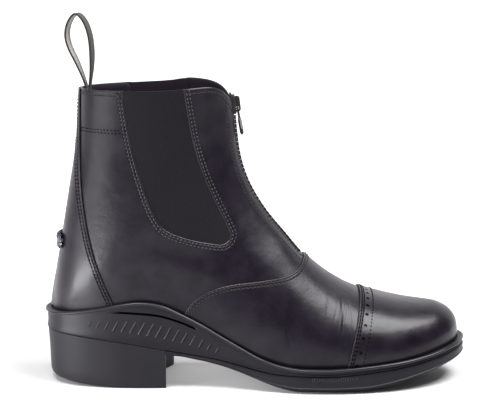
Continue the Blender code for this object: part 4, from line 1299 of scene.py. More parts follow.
class BOOT_OT_upper(bpy.types.Operator):
    """Builds the hollow leather upper with its lining"""

    bl_idname = "boot.upper"
    bl_label = "Upper"

    def execute(self, context):
        sheet = upper_sheet()
        edge = sheet.field("edge")
        back = -WALL + ROLL_DEPTH * np.clip(1 - edge / ROLL_WIDTH, 0, 1) ** 2
        finishes = [leather_finish("upper_leather", UPPER_ROWS), lining_finish()]
        fields = ("gusset", "collar", "zip", "edge")
        item = sheet.solid("upper_leather", back, relief(sheet) - rounding(edge), finishes, fields, 1)
        dress(item, "black_leather", "upper")
        return {"FINISHED"}


class BOOT_OT_overlays(bpy.types.Operator):
    """Builds the vamp, the punched toe cap and the backstay"""

    bl_idname = "boot.overlays"
    bl_label = "Vamp, Toe Cap and Backstay"

    def execute(self, context):
        leather = sizes().leather / MM
        self.layer(vamp_sheet(), "vamp", GAP, leather, EDGE_ROWS, ("edge",))
        self.layer(backstay_sheet(), "backstay", GAP, leather, EDGE_ROWS, ("edge",))
        self.layer(cap_sheet(), "toe_cap", 2 * GAP + leather, leather, CAP_ROWS[:2], ("cap", "edge"), 0.04)
        return {"FINISHED"}

    def layer(self, sheet, node, start, leather, rows, fields, gloss=0.0):
        face = start + leather + relief(sheet) - rounding(sheet.field("edge"))
        finish = leather_finish(f"{node}_leather", rows, gloss)
        item = sheet.solid(f"{node}_leather", start, face, [finish], fields)
        dress(item, "black_leather", node)


class BOOT_OT_gussets(bpy.types.Operator):
    """Builds the two elastic gussets in their cut-outs"""

    bl_idname = "boot.gussets"
    bl_label = "Gussets"

    def execute(self, context):
        for side, name in ((-1, "outer"), (1, "inner")):
            sheet = whole_sheet()
            sheet = sheet.with_field("side", sheet.rows[:, 1] * side).cut("side", GUSSET_SIDE)
            sheet = sheet.cut("gusset", GAP, below=True).cut("collar", GUSSET_SHORT)
            face = np.full(len(sheet.rows), ELASTIC_FACE)
            back = face - ELASTIC_THICKNESS + 0.25 * np.clip(1 - sheet.field("collar") / 2.0, 0, 1)
            finishes = [elastic_finish(), lining_finish()]
            item = sheet.solid(f"elastic_{name}", back, face, finishes, back_finish=1)
            dress(item, "black_elastic", f"gusset_{name}")
        return {"FINISHED"}


def stitch_shape(length, thread):
    """One stitch along its own run: points as run, across and up, with its faces."""
    half, radius = length / 2, thread / 2
    stations = [(-1.0, 0.35, -0.6), (-0.62, 0.95, 0.35), (0.0, 1.0, 0.6)]
    stations += [(-run, girth_share, up) for run, girth_share, up in stations[1::-1]]
    around = 6
    points = []
    for run, girth_share, up in stations:
        for k in range(around):
            angle = 2 * math.pi * k / around
            wide, tall = math.cos(angle) * girth_share, math.sin(angle) * girth_share * 0.8
            points.append((run * half, wide * radius, (up + tall) * radius))
    return np.array(points), tube_faces(len(stations), around)


class BOOT_OT_stitching(bpy.types.Operator):
    """Sews the rows of stitches along the panels"""

    bl_idname = "boot.stitching"
    bl_label = "Stitching"

    def execute(self, context):
        leather = sizes().leather / MM
        # The gusset rows take the pale thread as a painted highlight; the band, backstay and toe cap rows
        # take the dark thread as painted shade.
        pale, plain, dark = Bundle(), Bundle(), Bundle()
        upper, vamp, stay, cap = upper_sheet(), vamp_sheet(), backstay_sheet(), cap_sheet()
        for field, level in UPPER_ROWS:
            allowed = self.beside_zip if field == "zip" else self.on_quarter
            self.sew(pale if field == "gusset" else plain, upper, field, level, 0.0, allowed)
        for level in BAND_ROWS:
            self.sew(dark, upper, "band", level, 0.0, self.on_band)
        for field, level in EDGE_ROWS:
            self.sew(plain, vamp, field, level, GAP + leather, self.anywhere)
            self.sew(dark, stay, field, level, GAP + leather, self.anywhere)
        for field, level in CAP_ROWS:
            self.sew(dark, cap, field, level, 2 * (GAP + leather), self.anywhere)
        for bundle, (name, strength, shine) in zip((pale, plain, dark), THREADS):
            finish = thread_finish(f"{name}_thread", strength, shine)
            dress(bundle.made(f"{name}_stitching", [finish], 60.0), "black_leather")
        return {"FINISHED"}

    def on_quarter(self, sheet):
        """Where the quarter's face shows, clear of the overlays and of other edges."""
        clear = np.maximum(sheet.field("vamp"), sheet.field("back") + 0.6) < 0.4
        off_corner = (sheet.field("zip") > 8.0) | (sheet.field("collar") > COLLAR_CLEAR)
        return clear & off_corner & (sheet.field("edge") > 1.1)

    def beside_zip(self, sheet):
        return self.on_quarter(sheet) & (sheet.field("collar") > COLLAR_CLEAR)

    def on_band(self, sheet):
        behind = sheet.rows[:, 0] < BAND_REACH - 4.0
        return behind & (sheet.field("back") < -0.2) & (sheet.field("gusset") > 4.0)

    def anywhere(self, sheet):
        return np.ones(len(sheet.rows), bool)

    def sew(self, bundle, sheet, field, level, face, allowed):
        size = sizes()
        points, faces = stitch_shape(size.stitch_length / MM, size.thread / MM)
        lifted = sheet.with_field("face", face + relief(sheet))
        for run in lifted.contours(field, level):
            count = max(int(run_length(run) / (size.stitch_pitch / MM)), 1)
            rows = along(run, (np.arange(count) + 0.5) / count)
            kept = Sheet(rows, np.zeros((0, 3)), lifted.names)
            tangent = unit(np.gradient(rows[:, Sheet.PLACE], axis=0)) if count > 1 else np.zeros((1, 3))
            for row, ahead, use in zip(rows, tangent, allowed(kept)):
                if not use:
                    continue
                out = row[Sheet.OUT] / np.linalg.norm(row[Sheet.OUT])
                side = unit(np.cross(out, ahead))
                place = row[Sheet.PLACE] + out * row[-1]
                turned = points @ np.stack([ahead, side, out])
                bundle.add(place + turned, faces)


class BOOT_OT_spur_rest(bpy.types.Operator):
    """Plaits the spur rest across the back of the heel"""

    bl_idname = "boot.spur_rest"
    bl_label = "Spur Rest"

    def execute(self, context):
        sheet = whole_sheet().cut("back")
        run = max(sheet.contours("height", SPUR_Z), key=run_length)
        run = run[run[:, 0] < SPUR_REACH]
        length = run_length(run)
        steps = 120
        rows = along(run, np.linspace(0.0, 1.0, steps + 1))
        out = unit(rows[:, Sheet.OUT])
        distance = np.linspace(0.0, length, steps + 1)
        tail = np.minimum(step(distance, -3.0, 4.0), step(length - distance, -3.0, 4.0))
        bundle = Bundle()
        around = 14
        for strand in range(3):
            turn = 2 * math.pi * (distance / SPUR_WAVE + strand / 3)
            up = np.outer(np.sin(turn) * SPUR_SWING * tail, (0.0, 0.0, 1.0))
            over = SPUR_OUT + SPUR_OVER * np.sin(2 * turn)
            centre = rows[:, Sheet.PLACE] + up + out * over[:, None]
            ahead = unit(np.gradient(centre, axis=0))
            first = unit(np.cross(ahead, out))
            second = np.cross(first, ahead)
            angle = np.linspace(0, 2 * math.pi, around, endpoint=False)
            girth_share = SPUR_STRAND * (0.45 + 0.55 * tail)
            ring = np.cos(angle)[None, :, None] * first[:, None] * SPUR_WIDE
            ring = ring + np.sin(angle)[None, :, None] * second[:, None] * SPUR_THICK
            points = centre[:, None] + ring * girth_share[:, None, None]
            bundle.add(points.reshape(-1, 3), tube_faces(steps + 1, around))
        # Painted highlight: the braid's leather is painted four times lighter than the boot's, standing in
        # for its glints.
        finish = leather_finish("spur_leather_painted_highlight", gloss=0.12, edged=False, strength=4.0, index=1.6)
        dress(bundle.made("spur_braid", [finish], 70.0), "black_leather", "spur_rest")
        return {"FINISHED"}


class BOOT_OT_pull_loop(bpy.types.Operator):
    """Builds the woven pull loop at the back of the collar"""

    bl_idname = "boot.pull_loop"
    bl_label = "Pull Loop"

    def execute(self, context):
        line = along(smooth(LOOP_PATH, 16), np.linspace(0, 1, 221))
        run = unit(np.gradient(line, axis=0))
        distance = np.concatenate([[0.0], np.cumsum(np.linalg.norm(np.diff(line, axis=0), axis=1))])
        cross = self.cross_section()
        points, fields = [], {"across": [], "run": [], "inside": []}
        for (x, z), (run_x, run_z), far in zip(line, run, distance):
            twist = LOOP_TWIST * float(step(np.array(z), LOOP_TWIST_FROM, LOOP_TWIST_TO))
            across = np.array((math.sin(twist), math.cos(twist), 0.0))
            thick = np.array((-run_z, 0.0, run_x))
            for a, t in cross:
                points.append(np.array((x, 0.0, z)) + across * a + thick * t)
                fields["across"].append(a)
                fields["run"].append(far)
                fields["inside"].append(1.0 if t < 0 else 0.0)
        item = new_mesh(
            "loop_webbing", points, tube_faces(len(line), len(cross)), [webbing_finish()], 50.0, None, fields
        )
        dress(item, "grey_webbing", "pull_loop")
        return {"FINISHED"}

    def cross_section(self):
        """The tape's section: two flat faces with a thin bead along each edge."""
        half, thick = LOOP_HALF, LOOP_THICKNESS / 2
        top = [(-1.0, 0.35), (-0.96, 0.85), (-0.88, 1.0), (-0.78, 0.8), (-0.4, 0.8), (0.0, 0.8)]
        top += [(-a, t) for a, t in reversed(top[:-1])]
        section = [(a * half, t * thick) for a, t in top]
        return section + [(a, -t) for a, t in reversed(section)]


def slider_axes():
    up = (SLIDER_HEAD - SLIDER_FOOT) / np.linalg.norm(SLIDER_HEAD - SLIDER_FOOT)
    return up, np.array((up[1], -up[0])), np.linalg.norm(SLIDER_HEAD - SLIDER_FOOT)


def slider_point(rise, y, away):
    up, out, _ = slider_axes()
    x, z = SLIDER_FOOT + up * rise + out * away
    return x, y, z


class BOOT_OT_zip(bpy.types.Operator):
    """Builds the zip: tape, teeth, slider and pull tab"""

    bl_idname = "boot.zip"
    bl_label = "Zip"

    def execute(self, context):
        metal = metal_finish("zip_metal", tuple(colours().metal), 0.36, 0.2)
        self.tape()
        self.teeth(metal)
        self.slider(metal)
        self.pull(metal, metal_finish("tab_metal", tuple(colours().tab), 0.35, 0.4))
        return {"FINISHED"}

    def tape(self):
        line, out = ridge(ZIP_FOOT - 1.5, TAPE_HEAD, 90)
        cross = [(a * TAPE_HALF, TAPE_FACE) for a in np.linspace(-1, 1, 9)]
        cross += [(a * TAPE_HALF, TAPE_BACK) for a in np.linspace(1, -1, 9)]
        points = [(x + ox * t, y, z + oz * t) for (x, z), (ox, oz) in zip(line, out) for y, t in cross]
        faces = tube_faces(len(line), len(cross))
        item = new_mesh("tape_cloth", points, faces, [cloth_finish("tape_weave")])
        dress(item, "black_cloth", "zip_tape")

    def teeth(self, metal):
        """Interlocked teeth, from alternate sides."""
        line, out = ridge(ZIP_FOOT, CHAIN_HEAD, 400)
        count = int(run_length(line) / TOOTH_PITCH)
        rows = along(np.column_stack([line, out]), (np.arange(count) + 0.5) / count)
        bundle = Bundle()
        plan = ((-CHAIN_HALF, 0.42), (-1.2, 0.42), (-0.5, 0.3), (0.25, 0.55), (0.75, 0.5), (1.0, 0.2))
        plan = [*plan, *((y, -a) for y, a in reversed(plan))]
        for number, (x, z, out_x, out_z) in enumerate(rows):
            side = 1 if number % 2 else -1
            rings = []
            for away, share in ((CHAIN_BACK, 0.8), (-0.1, 1.0), (0.35, 1.0), (CHAIN_FACE, 0.72)):
                ring = []
                for y, a in plan:
                    run = a * share * 1.15
                    place_x = x + out_x * away - out_z * run
                    place_z = z + out_z * away + out_x * run
                    ring.append((place_x, y * side * (0.96 if share < 1 else 1.0), place_z))
                rings.append(ring[::-side])
            bundle.add(np.array(rings).reshape(-1, 3), tube_faces(len(rings), len(plan)))
        dress(bundle.made("zip_teeth", [metal], 30.0), "dark_metal", "zip_chain")

    def slider(self, metal):
        """Rounded shield with a bridge along it."""
        length = slider_axes()[2]
        bundle = Bundle()
        side = ((0.0, 0.50), (0.05, 0.60), (0.3, 0.86), (0.48, 1.0), (0.86, 1.0), (0.95, 0.88), (1.0, 0.62))
        plan = [(rise * length, half * SLIDER_HALF) for rise, half in side]
        plan = [*plan, *((rise, -half) for rise, half in reversed(plan))]
        middle = length / 2
        rings = []
        layers = [(SLIDER_BACK, 0.93), (SLIDER_BACK + 0.25, 1.0)]
        layers += [(SLIDER_FACE - 0.35, 1.0), (SLIDER_FACE, 0.9)]
        for away, share in layers:
            rings.append([slider_point(middle + (a - middle) * share, y * share, away) for a, y in plan])
        bundle.add(np.array(rings).reshape(-1, 3)[::-1], tube_faces(len(rings), len(plan)))
        under = SLIDER_FACE + BRIDGE_GAP
        low, high, top = BRIDGE_INSET, length - BRIDGE_INSET, under + BRIDGE_BAR / 2
        half_bar = BRIDGE_BAR / 2
        path = [(low + half_bar, SLIDER_FACE - 0.4), (low + half_bar, under - 0.3), (low + 1.2, top - 0.15)]
        path += [(low + 2.2, top), (high - 2.2, top), (high - 1.2, top - 0.15)]
        path += [(high - half_bar, under - 0.3), (high - half_bar, SLIDER_FACE - 0.4)]
        path = along(smooth(path, 8), np.linspace(0, 1, 41))
        run = unit(np.gradient(path, axis=0))
        angle = np.linspace(0, 2 * math.pi, 12, endpoint=False)
        points = []
        for (rise, away), (run_rise, run_away) in zip(path, run):
            for t in angle:
                across = math.copysign(abs(math.cos(t)) ** 0.6, math.cos(t)) * BRIDGE_HALF
                thick = math.copysign(abs(math.sin(t)) ** 0.6, math.sin(t)) * half_bar
                points.append(slider_point(rise - run_away * thick, across, away + run_rise * thick))
        bundle.add(points, tube_faces(len(path), 12))
        head, web_half = high - half_bar, 0.94 * BRIDGE_HALF
        points = []
        for away in (SLIDER_FACE - 0.2, top):
            for rise, side in ((BRIDGE_SILL, -1), (BRIDGE_SILL, 1), (head, 1), (head, -1)):
                points.append(slider_point(rise, side * web_half, away))
        bundle.add(points, tube_faces(2, 4))
        dress(bundle.made("slider_body", [metal], 30.0), "dark_metal", "zip_slider")

    def pull(self, dark, bare):
        """Tab with rounded edges, a window and pin at the bridge, a grip and bare strips along its sides."""
        pivot = np.array(slider_point(PIVOT_UP, 0.0, PIVOT_OUT))
        down = np.array((math.sin(PULL_LEAN), 0.0, -math.cos(PULL_LEAN)))
        out = np.array((math.cos(PULL_LEAN), 0.0, math.sin(PULL_LEAN)))
        across = np.array((0.0, 1.0, 0.0))
        outer = self.rounded(-PULL_BAR / 2, PULL_LENGTH, PULL_HALF, 1.1)
        inner = self.rounded(PULL_BAR / 2, PULL_WINDOW, PULL_WINDOW_HALF, 0.5)
        count, half = len(outer), PULL_ARM_HALF
        rings = []
        for loop, draw, away in (
            (inner, -0.12, -1.0),
            (outer, -0.18, -1.0),
            (outer, 0.0, -0.65),
            (outer, 0.0, 0.65),
            (outer, -0.18, 1.0),
            (inner, -0.12, 1.0),
            (inner, 0.0, 0.7),
            (inner, 0.0, -0.7),
        ):
            grown = self.drawn(loop, draw if loop is outer else -draw)
            rings.append([pivot + down * a + across * y + out * (away * half) for a, y in grown])
        faces = []
        for ring in range(len(rings)):
            low, high = ring * count, ((ring + 1) % len(rings)) * count
            for k in range(count):
                after = (k + 1) % count
                faces.append([low + k, high + k, high + after, low + after])
        bundle = Bundle()
        bundle.add(np.array(rings).reshape(-1, 3), faces)
        pin, around = [], 12
        for y in (PULL_PIN_INSET - PULL_HALF, PULL_HALF - PULL_PIN_INSET):
            for k in range(around):
                angle = k / around * 2 * math.pi
                away = down * math.cos(angle) + out * math.sin(angle)
                pin.append(pivot + across * y + away * PULL_PIN)
        bundle.add(pin, tube_faces(2, around))
        stations = ((0.0, 0.5), (0.05, 0.92), (0.2, 1.0), (0.8, 1.0), (0.95, 0.92), (1.0, 0.5))
        section = [(-1.0, -0.6), (-0.8, -1.0), (0.8, -1.0), (1.0, -0.6)]
        section += [(-y, -thick) for y, thick in section]
        grip = []
        for share, swell in stations:
            middle = pivot + down * (GRIP_FROM + share * (GRIP_TO - GRIP_FROM))
            for y, thick in section:
                grip.append(middle + across * (y * GRIP_HALF) + out * (thick * swell * GRIP_THICKNESS / 2))
        bundle.add(grip, tube_faces(len(stations), len(section)))
        bare_from = len(bundle.faces)
        for side in (-1, 1):
            strip = []
            for a in (GRIP_FROM, GRIP_TO - STRIP_SHORTER):
                for y, thick in STRIP_SECTION:
                    strip.append(pivot + down * a + across * (side * y) + out * thick)
            bundle.add(strip, [face[::side] for face in tube_faces(2, len(STRIP_SECTION))])
        kinds = np.arange(len(bundle.faces)) >= bare_from
        item = new_mesh("pull_tab", np.vstack(bundle.points), bundle.faces, [dark, bare], 30.0, kinds)
        dress(item, "dark_metal", "zip_pull", body=PULL_BODY)

    def rounded(self, low, high, half, corner):
        """A rectangle with round corners, with the same number of points for any size."""
        loop = []
        steps = 6
        for centre_a, centre_y, start in (
            (high - corner, half - corner, 0.0),
            (low + corner, half - corner, 0.5),
            (low + corner, -half + corner, 1.0),
            (high - corner, -half + corner, 1.5),
        ):
            for k in range(steps + 1):
                angle = (start + 0.5 * k / steps) * math.pi
                loop.append((centre_a + corner * math.cos(angle), centre_y + corner * math.sin(angle)))
        return np.array(loop)

    def drawn(self, loop, grow):
        """The loop moved outwards by grow."""
        run = unit(np.roll(loop, -1, axis=0) - np.roll(loop, 1, axis=0))
        return loop + np.stack([run[:, 1], -run[:, 0]], axis=1) * grow


# Sole


def sole_rings(profile, lower, upper):
    """Rings of points round the sole between two height lines, as outer and inner halves."""
    made = []
    for inset, share, lift, toe_inset in profile:
        ring = []
        for side in (-1, 1):
            half = sole_side(side, inset, toe_inset)
            low, high = height(lower, half[:, 0]), height(upper, half[:, 0])
            ring.append(np.column_stack([half[:, :2], low + share * (high - low) + lift]))
        made.append(ring)
    return made


def sole_solid(rings):
    """Points and faces of a closed solid through rings, with strips across its top and bottom."""
    steps = len(rings[0][0])
    points = np.vstack([half for ring in rings for half in ring])
    faces = []

    def corner(ring, side, k):
        return (2 * ring + side) * steps + k

    for ring in range(len(rings) - 1):
        for side in (0, 1):
            for k in range(steps - 1):
                square = [(ring, k), (ring, k + 1), (ring + 1, k + 1), (ring + 1, k)]
                faces.append([corner(r, side, m) for r, m in (square if side == 0 else square[::-1])])
        for k, turn in ((0, -1), (steps - 1, 1)):
            square = ((ring, 0), (ring, 1), (ring + 1, 1), (ring + 1, 0))
            faces.append([corner(r, s, k) for r, s in square[::turn]])
    for ring, turn in ((0, 1), (len(rings) - 1, -1)):
        for k in range(steps - 1):
            square = ((1, k), (1, k + 1), (0, k + 1), (0, k))
            faces.append([corner(ring, s, m) for s, m in square[::turn]])
    return points, faces


def welded(item):
    """Merges the points that lie on one another, such as where the two halves of a sole meet."""
    weld = item.modifiers.new("weld", "WELD")
    weld.merge_threshold = 0.02 * MM
    return item


def settled(item):
    """Gives an object the shape that its modifiers make, and removes them."""
    shape = bpy.data.meshes.new_from_object(item.evaluated_get(bpy.context.evaluated_depsgraph_get()))
    tools = [m.object for m in item.modifiers if m.type == "BOOLEAN"]
    item.modifiers.clear()
    item.data = shape
    for tool in tools:
        bpy.data.objects.remove(tool)
    shape.shade_smooth()
    shape.set_sharp_from_angle(angle=math.radians(34.0))
    return item


def carved(item, outline, z_low, z_high):
    """Cuts away a plan outline of x and y, between two heights."""
    count = len(outline)
    points = [(x, y, z) for z in (z_low, z_high) for x, y in outline]
    faces = [list(range(count))[::-1], list(range(count, 2 * count))]
    faces += [[a, (a + 1) % count, (a + 1) % count + count, a + count] for a in range(count)]
    tool = new_mesh("carving", points, faces, [])
    area = sum(x0 * y1 - x1 * y0 for (x0, y0), (x1, y1) in zip(outline, [*outline[1:], outline[0]]))
    if area < 0:
        tool.data.flip_normals()
    tool.hide_render = True
    cut = item.modifiers.new("carving", "BOOLEAN")
    cut.operation = "DIFFERENCE"
    cut.object = tool
    cut.solver = "EXACT"
    return item


class BOOT_OT_sole(bpy.types.Operator):
    """Builds the cup sole, the tread and the heel, and covers the insole"""

    bl_idname = "boot.sole"
    bl_label = "Sole"

    def execute(self, context):
        self.cup()
        self.tread()
        self.ticks()
        self.heel()
        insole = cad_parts["insole"]
        insole.data.materials.clear()
        insole.data.materials.append(cloth_finish("insole_cloth"))
        return {"FINISHED"}

    def slot_ends(self, x):
        """1 along the slot, easing to 0 at its two ends."""
        start, end = SLOT_LINE[0][0], SLOT_LINE[-1][0]
        return step(x, start - 0.4, start + SLOT_EASE) * (1 - step(x, end - SLOT_EASE, end + 0.4))

    def slot_rings(self):
        """Rings of the wall that follow the slot under the rim, sunk in along it."""
        rings = []
        levels = ((-1.25, 0.0), (-0.85, 0.0), (-0.7, 1.0), (0.0, 1.0), (0.7, 1.0), (0.85, 0.0), (1.25, 0.0))
        line = smooth(SLOT_LINE, 6)
        drop_x = [20.0, 36.0, *line[:, 0], 112.0, 130.0]
        rim_over = height(RIM_HEIGHT, line[:, 0]) - line[:, 1]
        drop = [4.0, 4.0, *rim_over, 4.6, 4.2]
        for level, sunk in levels:
            ring = []
            for side in (-1, 1):
                half = sole_side(side, SIDE_INSET, SIDE_TOE_INSET)
                x = half[:, 0]
                rim, low = height(RIM_HEIGHT, x), height(PARTING_HEIGHT, x)
                room = np.minimum(np.interp(x, drop_x, drop), 0.56 * (rim - low))
                tight = np.minimum(1.0, (rim - low) / 12.0)
                depth = (sunk * SLOT_DEPTH * self.slot_ends(x))[:, None]
                plan = half[:, :2] - half[:, 3:5] * depth
                ring.append(np.column_stack([plan, rim - room + level * SLOT_HEIGHT / 2 * tight]))
            rings.append(ring)
        return rings

    def rim_inside(self, low_ring):
        """Rings from the rim in to the leather, then down its face."""
        sheet = whole_sheet()
        reach = np.where(sheet.field("vamp") > 0, OVERLAY, 0.0)
        reach = np.where(sheet.field("cap") > 0, 2 * OVERLAY, reach)
        reach = np.where(sheet.field("back") > 0, OVERLAY, reach)
        skin = sheet.rows[:, Sheet.PLACE] + sheet.rows[:, Sheet.OUT] * reach[:, None]
        tree = BVHTree.FromPolygons(skin.tolist(), sheet.faces.tolist())
        rings = []
        for share, drop, clear in ((0.0, 0.35, 0.35), (0.0, 0.9, 0.12), (0.5, 0.6, 0.12), (1.0, 0.0, 0.12)):
            ring = []
            for number, side in enumerate((-1, 1)):
                outline = sole_side(side, 0.0)
                made = []
                for (x, y, z), (out_x, out_y) in zip(low_ring[number], outline[:, 3:5]):
                    inward = Vector((-out_x, -out_y, 0.0))
                    seat = feather_height(min(max(x, LAST_OUTLINE[0][0]), LAST_OUTLINE[-1][0])) + 0.2
                    level = z - drop + share * (min(seat, z - 1.5) - z)
                    hit = tree.ray_cast(Vector((x, y, level)), inward, 16.0)[0]
                    near = hit - inward * clear if hit else Vector((x, y, level)) + inward * 5.0
                    made.append((near.x, near.y, level))
                ring.append(np.array(made))
            rings.append(ring)
        floor = [half - (0.0, 0.0, 2 * GAP) for half in rings[-1]]
        return [*rings, floor]

    def cup(self):
        wall = sole_rings(CUP_PROFILE, PARTING_HEIGHT, RIM_HEIGHT)
        rim = sole_rings(RIM_PROFILE, PARTING_HEIGHT, RIM_HEIGHT)
        slot = self.slot_rings()
        points, faces = sole_solid([*wall, *slot, *rim, *self.rim_inside(rim[-1])])
        ring_size = 2 * (SOLE_STEPS + 1)
        # Painted light on the cup sole: -1 along the slot, whose faces take the painted shade, and 1 on the
        # ribs, which are painted lighter as a highlight.
        shade = np.zeros(len(points))
        sunk = slice((len(wall) + 2) * ring_size, (len(wall) + 5) * ring_size)
        shade[sunk] = -self.slot_ends(points[sunk, 0])
        bundle = Bundle()
        bundle.add(points, faces)
        self.ribs(bundle)
        points = np.vstack(bundle.points)
        shade = np.append(shade, np.ones(len(points) - len(shade)))
        finishes = [rubber_finish("cup_rubber"), slot_painted_shade_finish(), rim_finish()]
        rim_from, rim_to = ((len(wall) + len(slot) + k) * ring_size for k in (0, len(rim)))
        kinds = []
        for face in bundle.faces:
            # Faces deep in the slot take the painted shade.
            sunk = shade[list(face)].max() < -0.3
            raised = rim_from <= min(face) and max(face) < rim_to
            kinds.append(1 if sunk else 2 if raised else 0)
        fields = {"wear_and_painted_light": shade}
        item = welded(new_mesh("cup_sole", points, bundle.faces, finishes, 34.0, kinds, fields))
        dress(settled(item), "black_rubber", "midsole")

    def wall_spot(self, half, x):
        """A place on the side wall in plan, and its direction outwards."""
        columns = [np.interp(x, half[:, 0], half[:, k]) for k in (1, 3, 4)]
        return np.array((x, columns[0])), unit(np.array(columns[1:]))

    def bar(self, bundle, halves, middle, size, lean, proud):
        """A small raised bar at the same place on both side walls."""
        section = ((-0.5, -0.8), (-0.5, 0.1), (-0.28, 0.75), (0.0, 1.0))
        section = (*section, (0.28, 0.75), (0.5, 0.1), (0.5, -0.8))
        stations = ((-0.5, 0.1), (-0.46, 0.7), (-0.38, 1.0), (0.38, 1.0), (0.46, 0.7), (0.5, 0.1))
        x, z = middle
        for side, half in halves.items():
            points = []
            for end, rise in stations:
                for across, away in section:
                    plan, out = self.wall_spot(half, x + end * lean + across * size[0])
                    lift = away * proud * (rise if away > 0 else 1.0)
                    points.append((*(plan + out * lift), z + end * size[1]))
            faces = tube_faces(len(stations), len(section))
            bundle.add(points, [face[::side] for face in faces])

    def ribs(self, bundle):
        """Slanted ribs in a row along the waist, shorter towards both ends."""
        halves = {side: sole_side(side, SIDE_INSET) for side in (-1, 1)}
        middles = along(smooth(RIB_LINE, 8), np.linspace(0.0, 1.0, RIB_COUNT))
        for number, middle in enumerate(middles):
            share = RIB_END_SHARE + (1 - RIB_END_SHARE) * math.sin(math.pi * number / (RIB_COUNT - 1))
            self.bar(bundle, halves, middle, (RIB_WIDTH, RIB_LENGTH * share), RIB_LEAN * share, RIB_PROUD)

    def ticks(self):
        """A row of short upright ticks on the tread's edge, behind the toe cap."""
        bundle = Bundle()
        halves = {side: sole_side(side, TICK_INSET) for side in (-1, 1)}
        for x in np.arange(TICK_FROM, TICK_TO, TICK_PITCH):
            low, high = height(BOTTOM_HEIGHT, x), height(PARTING_HEIGHT, x)
            self.bar(bundle, halves, (x, low + TICK_LEVEL * (high - low)), TICK_SIZE, 0.0, TICK_PROUD)
        dress(bundle.made("tread_ticks", [rim_finish()]), "black_rubber")

    def tread(self):
        points, faces = sole_solid(sole_rings(TREAD_PROFILE, BOTTOM_HEIGHT, PARTING_HEIGHT))
        item = welded(new_mesh("tread_sole", points, faces, [rubber_finish()]))
        back = [(BREAST_OUTER + BREAST_GAP, -CUT_SIDE), (BREAST_INNER + BREAST_GAP, CUT_SIDE)]
        back += [(CUT_BACK, CUT_SIDE), (CUT_BACK, -CUT_SIDE)]
        carved(item, back, CUT_LOW, CUT_HIGH)
        dress(settled(item), "black_rubber", "outsole")

    def heel(self):
        points, faces = sole_solid(sole_rings(HEEL_PROFILE, HEEL_SEAT_HEIGHT, PARTING_HEIGHT))
        item = welded(new_mesh("heel_block", points, faces, [rubber_finish()]))
        front = [(BREAST_OUTER - BREAST_GAP, -CUT_SIDE), (CUT_FRONT, -CUT_SIDE)]
        front += [(CUT_FRONT, CUT_SIDE), (BREAST_INNER - BREAST_GAP, CUT_SIDE)]
        carved(item, front, CUT_LOW, CUT_HIGH)
        hollow = ((BREAST_OUTER, -BREAST_REACH / 2), (BREAST_MIDDLE, 0.0), (BREAST_INNER, BREAST_REACH / 2))
        curve = [*map(tuple, smooth(hollow, 8)), (HOLLOW_FRONT, BREAST_REACH), (HOLLOW_FRONT, -BREAST_REACH)]
        carved(item, curve, CUT_LOW, LEDGE_HEIGHT)
        dress(settled(item), "black_rubber", "heel")


# Stage

CAMERA_PLACE, CAMERA_PITCH, CAMERA_LENS = (-0.0037, -1.0, 0.2765), math.radians(80.83), 111.2
LIGHTS = (
    # name, place, aims at, width, height, watts
    ("left_box", (-0.66, -0.24, 0.26), (-0.08, 0.0, 0.14), 0.46, 0.42, 2.4),
    ("low_box", (-0.29, -0.15, 0.025), (-0.11, -0.03, 0.06), 0.16, 0.045, 0.75),
    ("top_box", (0.56, -0.21, 1.07), (0.03, -0.02, 0.07), 0.90, 0.50, 24.0),
    ("front_box", (-0.25, -0.50, 1.15), (0.0, -0.05, 0.0), 0.5, 0.4, 14.0),
)
SURROUND = 0.1
SENSOR_WIDTH = 36.0
# Glow of the paper well behind the boot, and a painted pool of light glowing on the floor under its arch
BACK_GLOW, ARCH_GLOW = (0.9, 0.9, 0.9), (0.36, 0.36, 0.365)


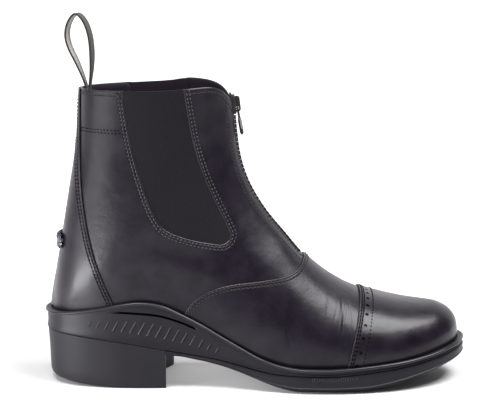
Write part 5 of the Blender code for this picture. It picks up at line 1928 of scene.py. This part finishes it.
class BOOT_OT_stage(bpy.types.Operator):
    """Sets the floor, the backdrop, the studio lights and the camera"""

    bl_idname = "boot.stage"
    bl_label = "Stage"

    def execute(self, context):
        self.floor()
        for name, place, aim, width, tall, watts in LIGHTS:
            light = bpy.data.lights.new(name, "AREA")
            light.shape, light.size, light.size_y, light.energy = "RECTANGLE", width, tall, watts
            item = bpy.data.objects.new(name, light)
            item.location = place
            item.rotation_euler = (Vector(aim) - Vector(place)).to_track_quat("-Z", "Y").to_euler()
            context.scene.collection.objects.link(item)
        world = bpy.data.worlds.new("studio")
        world.use_nodes = True
        world.node_tree.nodes["Background"].inputs["Color"].default_value = (1.0, 1.0, 1.0, 1.0)
        world.node_tree.nodes["Background"].inputs["Strength"].default_value = SURROUND
        context.scene.world = world
        context.scene.view_settings.view_transform = "Standard"
        camera = bpy.data.objects.new("camera", bpy.data.cameras.new("camera"))
        camera.location = CAMERA_PLACE
        camera.rotation_euler = (CAMERA_PITCH, 0.0, 0.0)
        camera.data.lens = CAMERA_LENS
        camera.data.sensor_width = SENSOR_WIDTH
        context.scene.collection.objects.link(camera)
        context.scene.camera = camera
        return {"FINISHED"}

    def floor(self):
        """A wide sheet that curves up behind the boot."""
        half, front, bend, tall, radius = 4.0, -3.0, 1.6, 3.0, 0.8
        profile = [(front, 0.0), (-0.6, 0.0), (0.6, 0.0), (bend, 0.0)]
        for k in range(1, 13):
            angle = k / 12 * math.pi / 2
            profile.append((bend + radius * math.sin(angle), radius * (1 - math.cos(angle))))
        profile.append((bend + radius, tall))
        points = [(x / MM, y / MM, z / MM - 0.02) for y, z in profile for x in (-half, half)]
        faces = [(2 * k, 2 * k + 1, 2 * k + 3, 2 * k + 2) for k in range(len(profile) - 1)]
        finish = Finish("studio_paper", Specular_IOR_Level=0.1, Emission_Strength=1.0)
        x, y = finish.axis("X"), finish.axis("Y")
        away = ((x * x) + (y * y)) ** 0.5
        behind = away.step(0.12, 0.42) * y.step(-0.2, 0.3)
        glow = finish.mixed(behind, (0.0, 0.0, 0.0), BACK_GLOW)
        # Painted light: a glowing pool on the floor under the arch, lightening the shade there.
        below = (((x + 0.03) * (x + 0.03) + (y + 0.01) * (y + 0.01)) ** 0.5).bell(0.0, 0.06)
        glow = finish.mixed(below, glow, ARCH_GLOW)
        grain = finish.noise(180.0, 2.0)
        shade = tuple(colours().floor)
        base = finish.tinted(grain, shade, 0.995, 1.0)
        material = finish.done(Base_Color=base, Roughness=0.7 + 0.05 * grain, Emission_Color=glow)
        new_mesh("studio_floor", points, faces, [material])


class BOOT_PT_panel(bpy.types.Panel):
    """Sizes, colours and building steps of the boot"""

    bl_idname = "BOOT_PT_panel"
    bl_label = "Jodhpur Boot"
    bl_space_type = "VIEW_3D"
    bl_region_type = "UI"
    bl_category = "Boot"

    def draw(self, context):
        for group in (context.scene.boot_sizes, context.scene.boot_colours):
            box = self.layout.box()
            for name in group.__annotations__:
                box.prop(group, name)
        for operator in OPERATORS:
            self.layout.operator(operator.bl_idname)


OPERATORS = (
    BOOT_OT_upper,
    BOOT_OT_overlays,
    BOOT_OT_gussets,
    BOOT_OT_stitching,
    BOOT_OT_spur_rest,
    BOOT_OT_pull_loop,
    BOOT_OT_zip,
    BOOT_OT_sole,
    BOOT_OT_stage,
)
CLASSES = (BootSizes, BootColours, *OPERATORS, BOOT_PT_panel)


def register():
    for item in CLASSES:
        bpy.utils.register_class(item)
    bpy.types.Scene.boot_sizes = PointerProperty(type=BootSizes)
    bpy.types.Scene.boot_colours = PointerProperty(type=BootColours)


def unregister():
    del bpy.types.Scene.boot_colours
    del bpy.types.Scene.boot_sizes
    for item in reversed(CLASSES):
        bpy.utils.unregister_class(item)


def main():
    register()
    for operator in OPERATORS:
        group, name = operator.bl_idname.split(".")
        getattr(getattr(bpy.ops, group), name)()


if __name__ == "__main__":
    main()
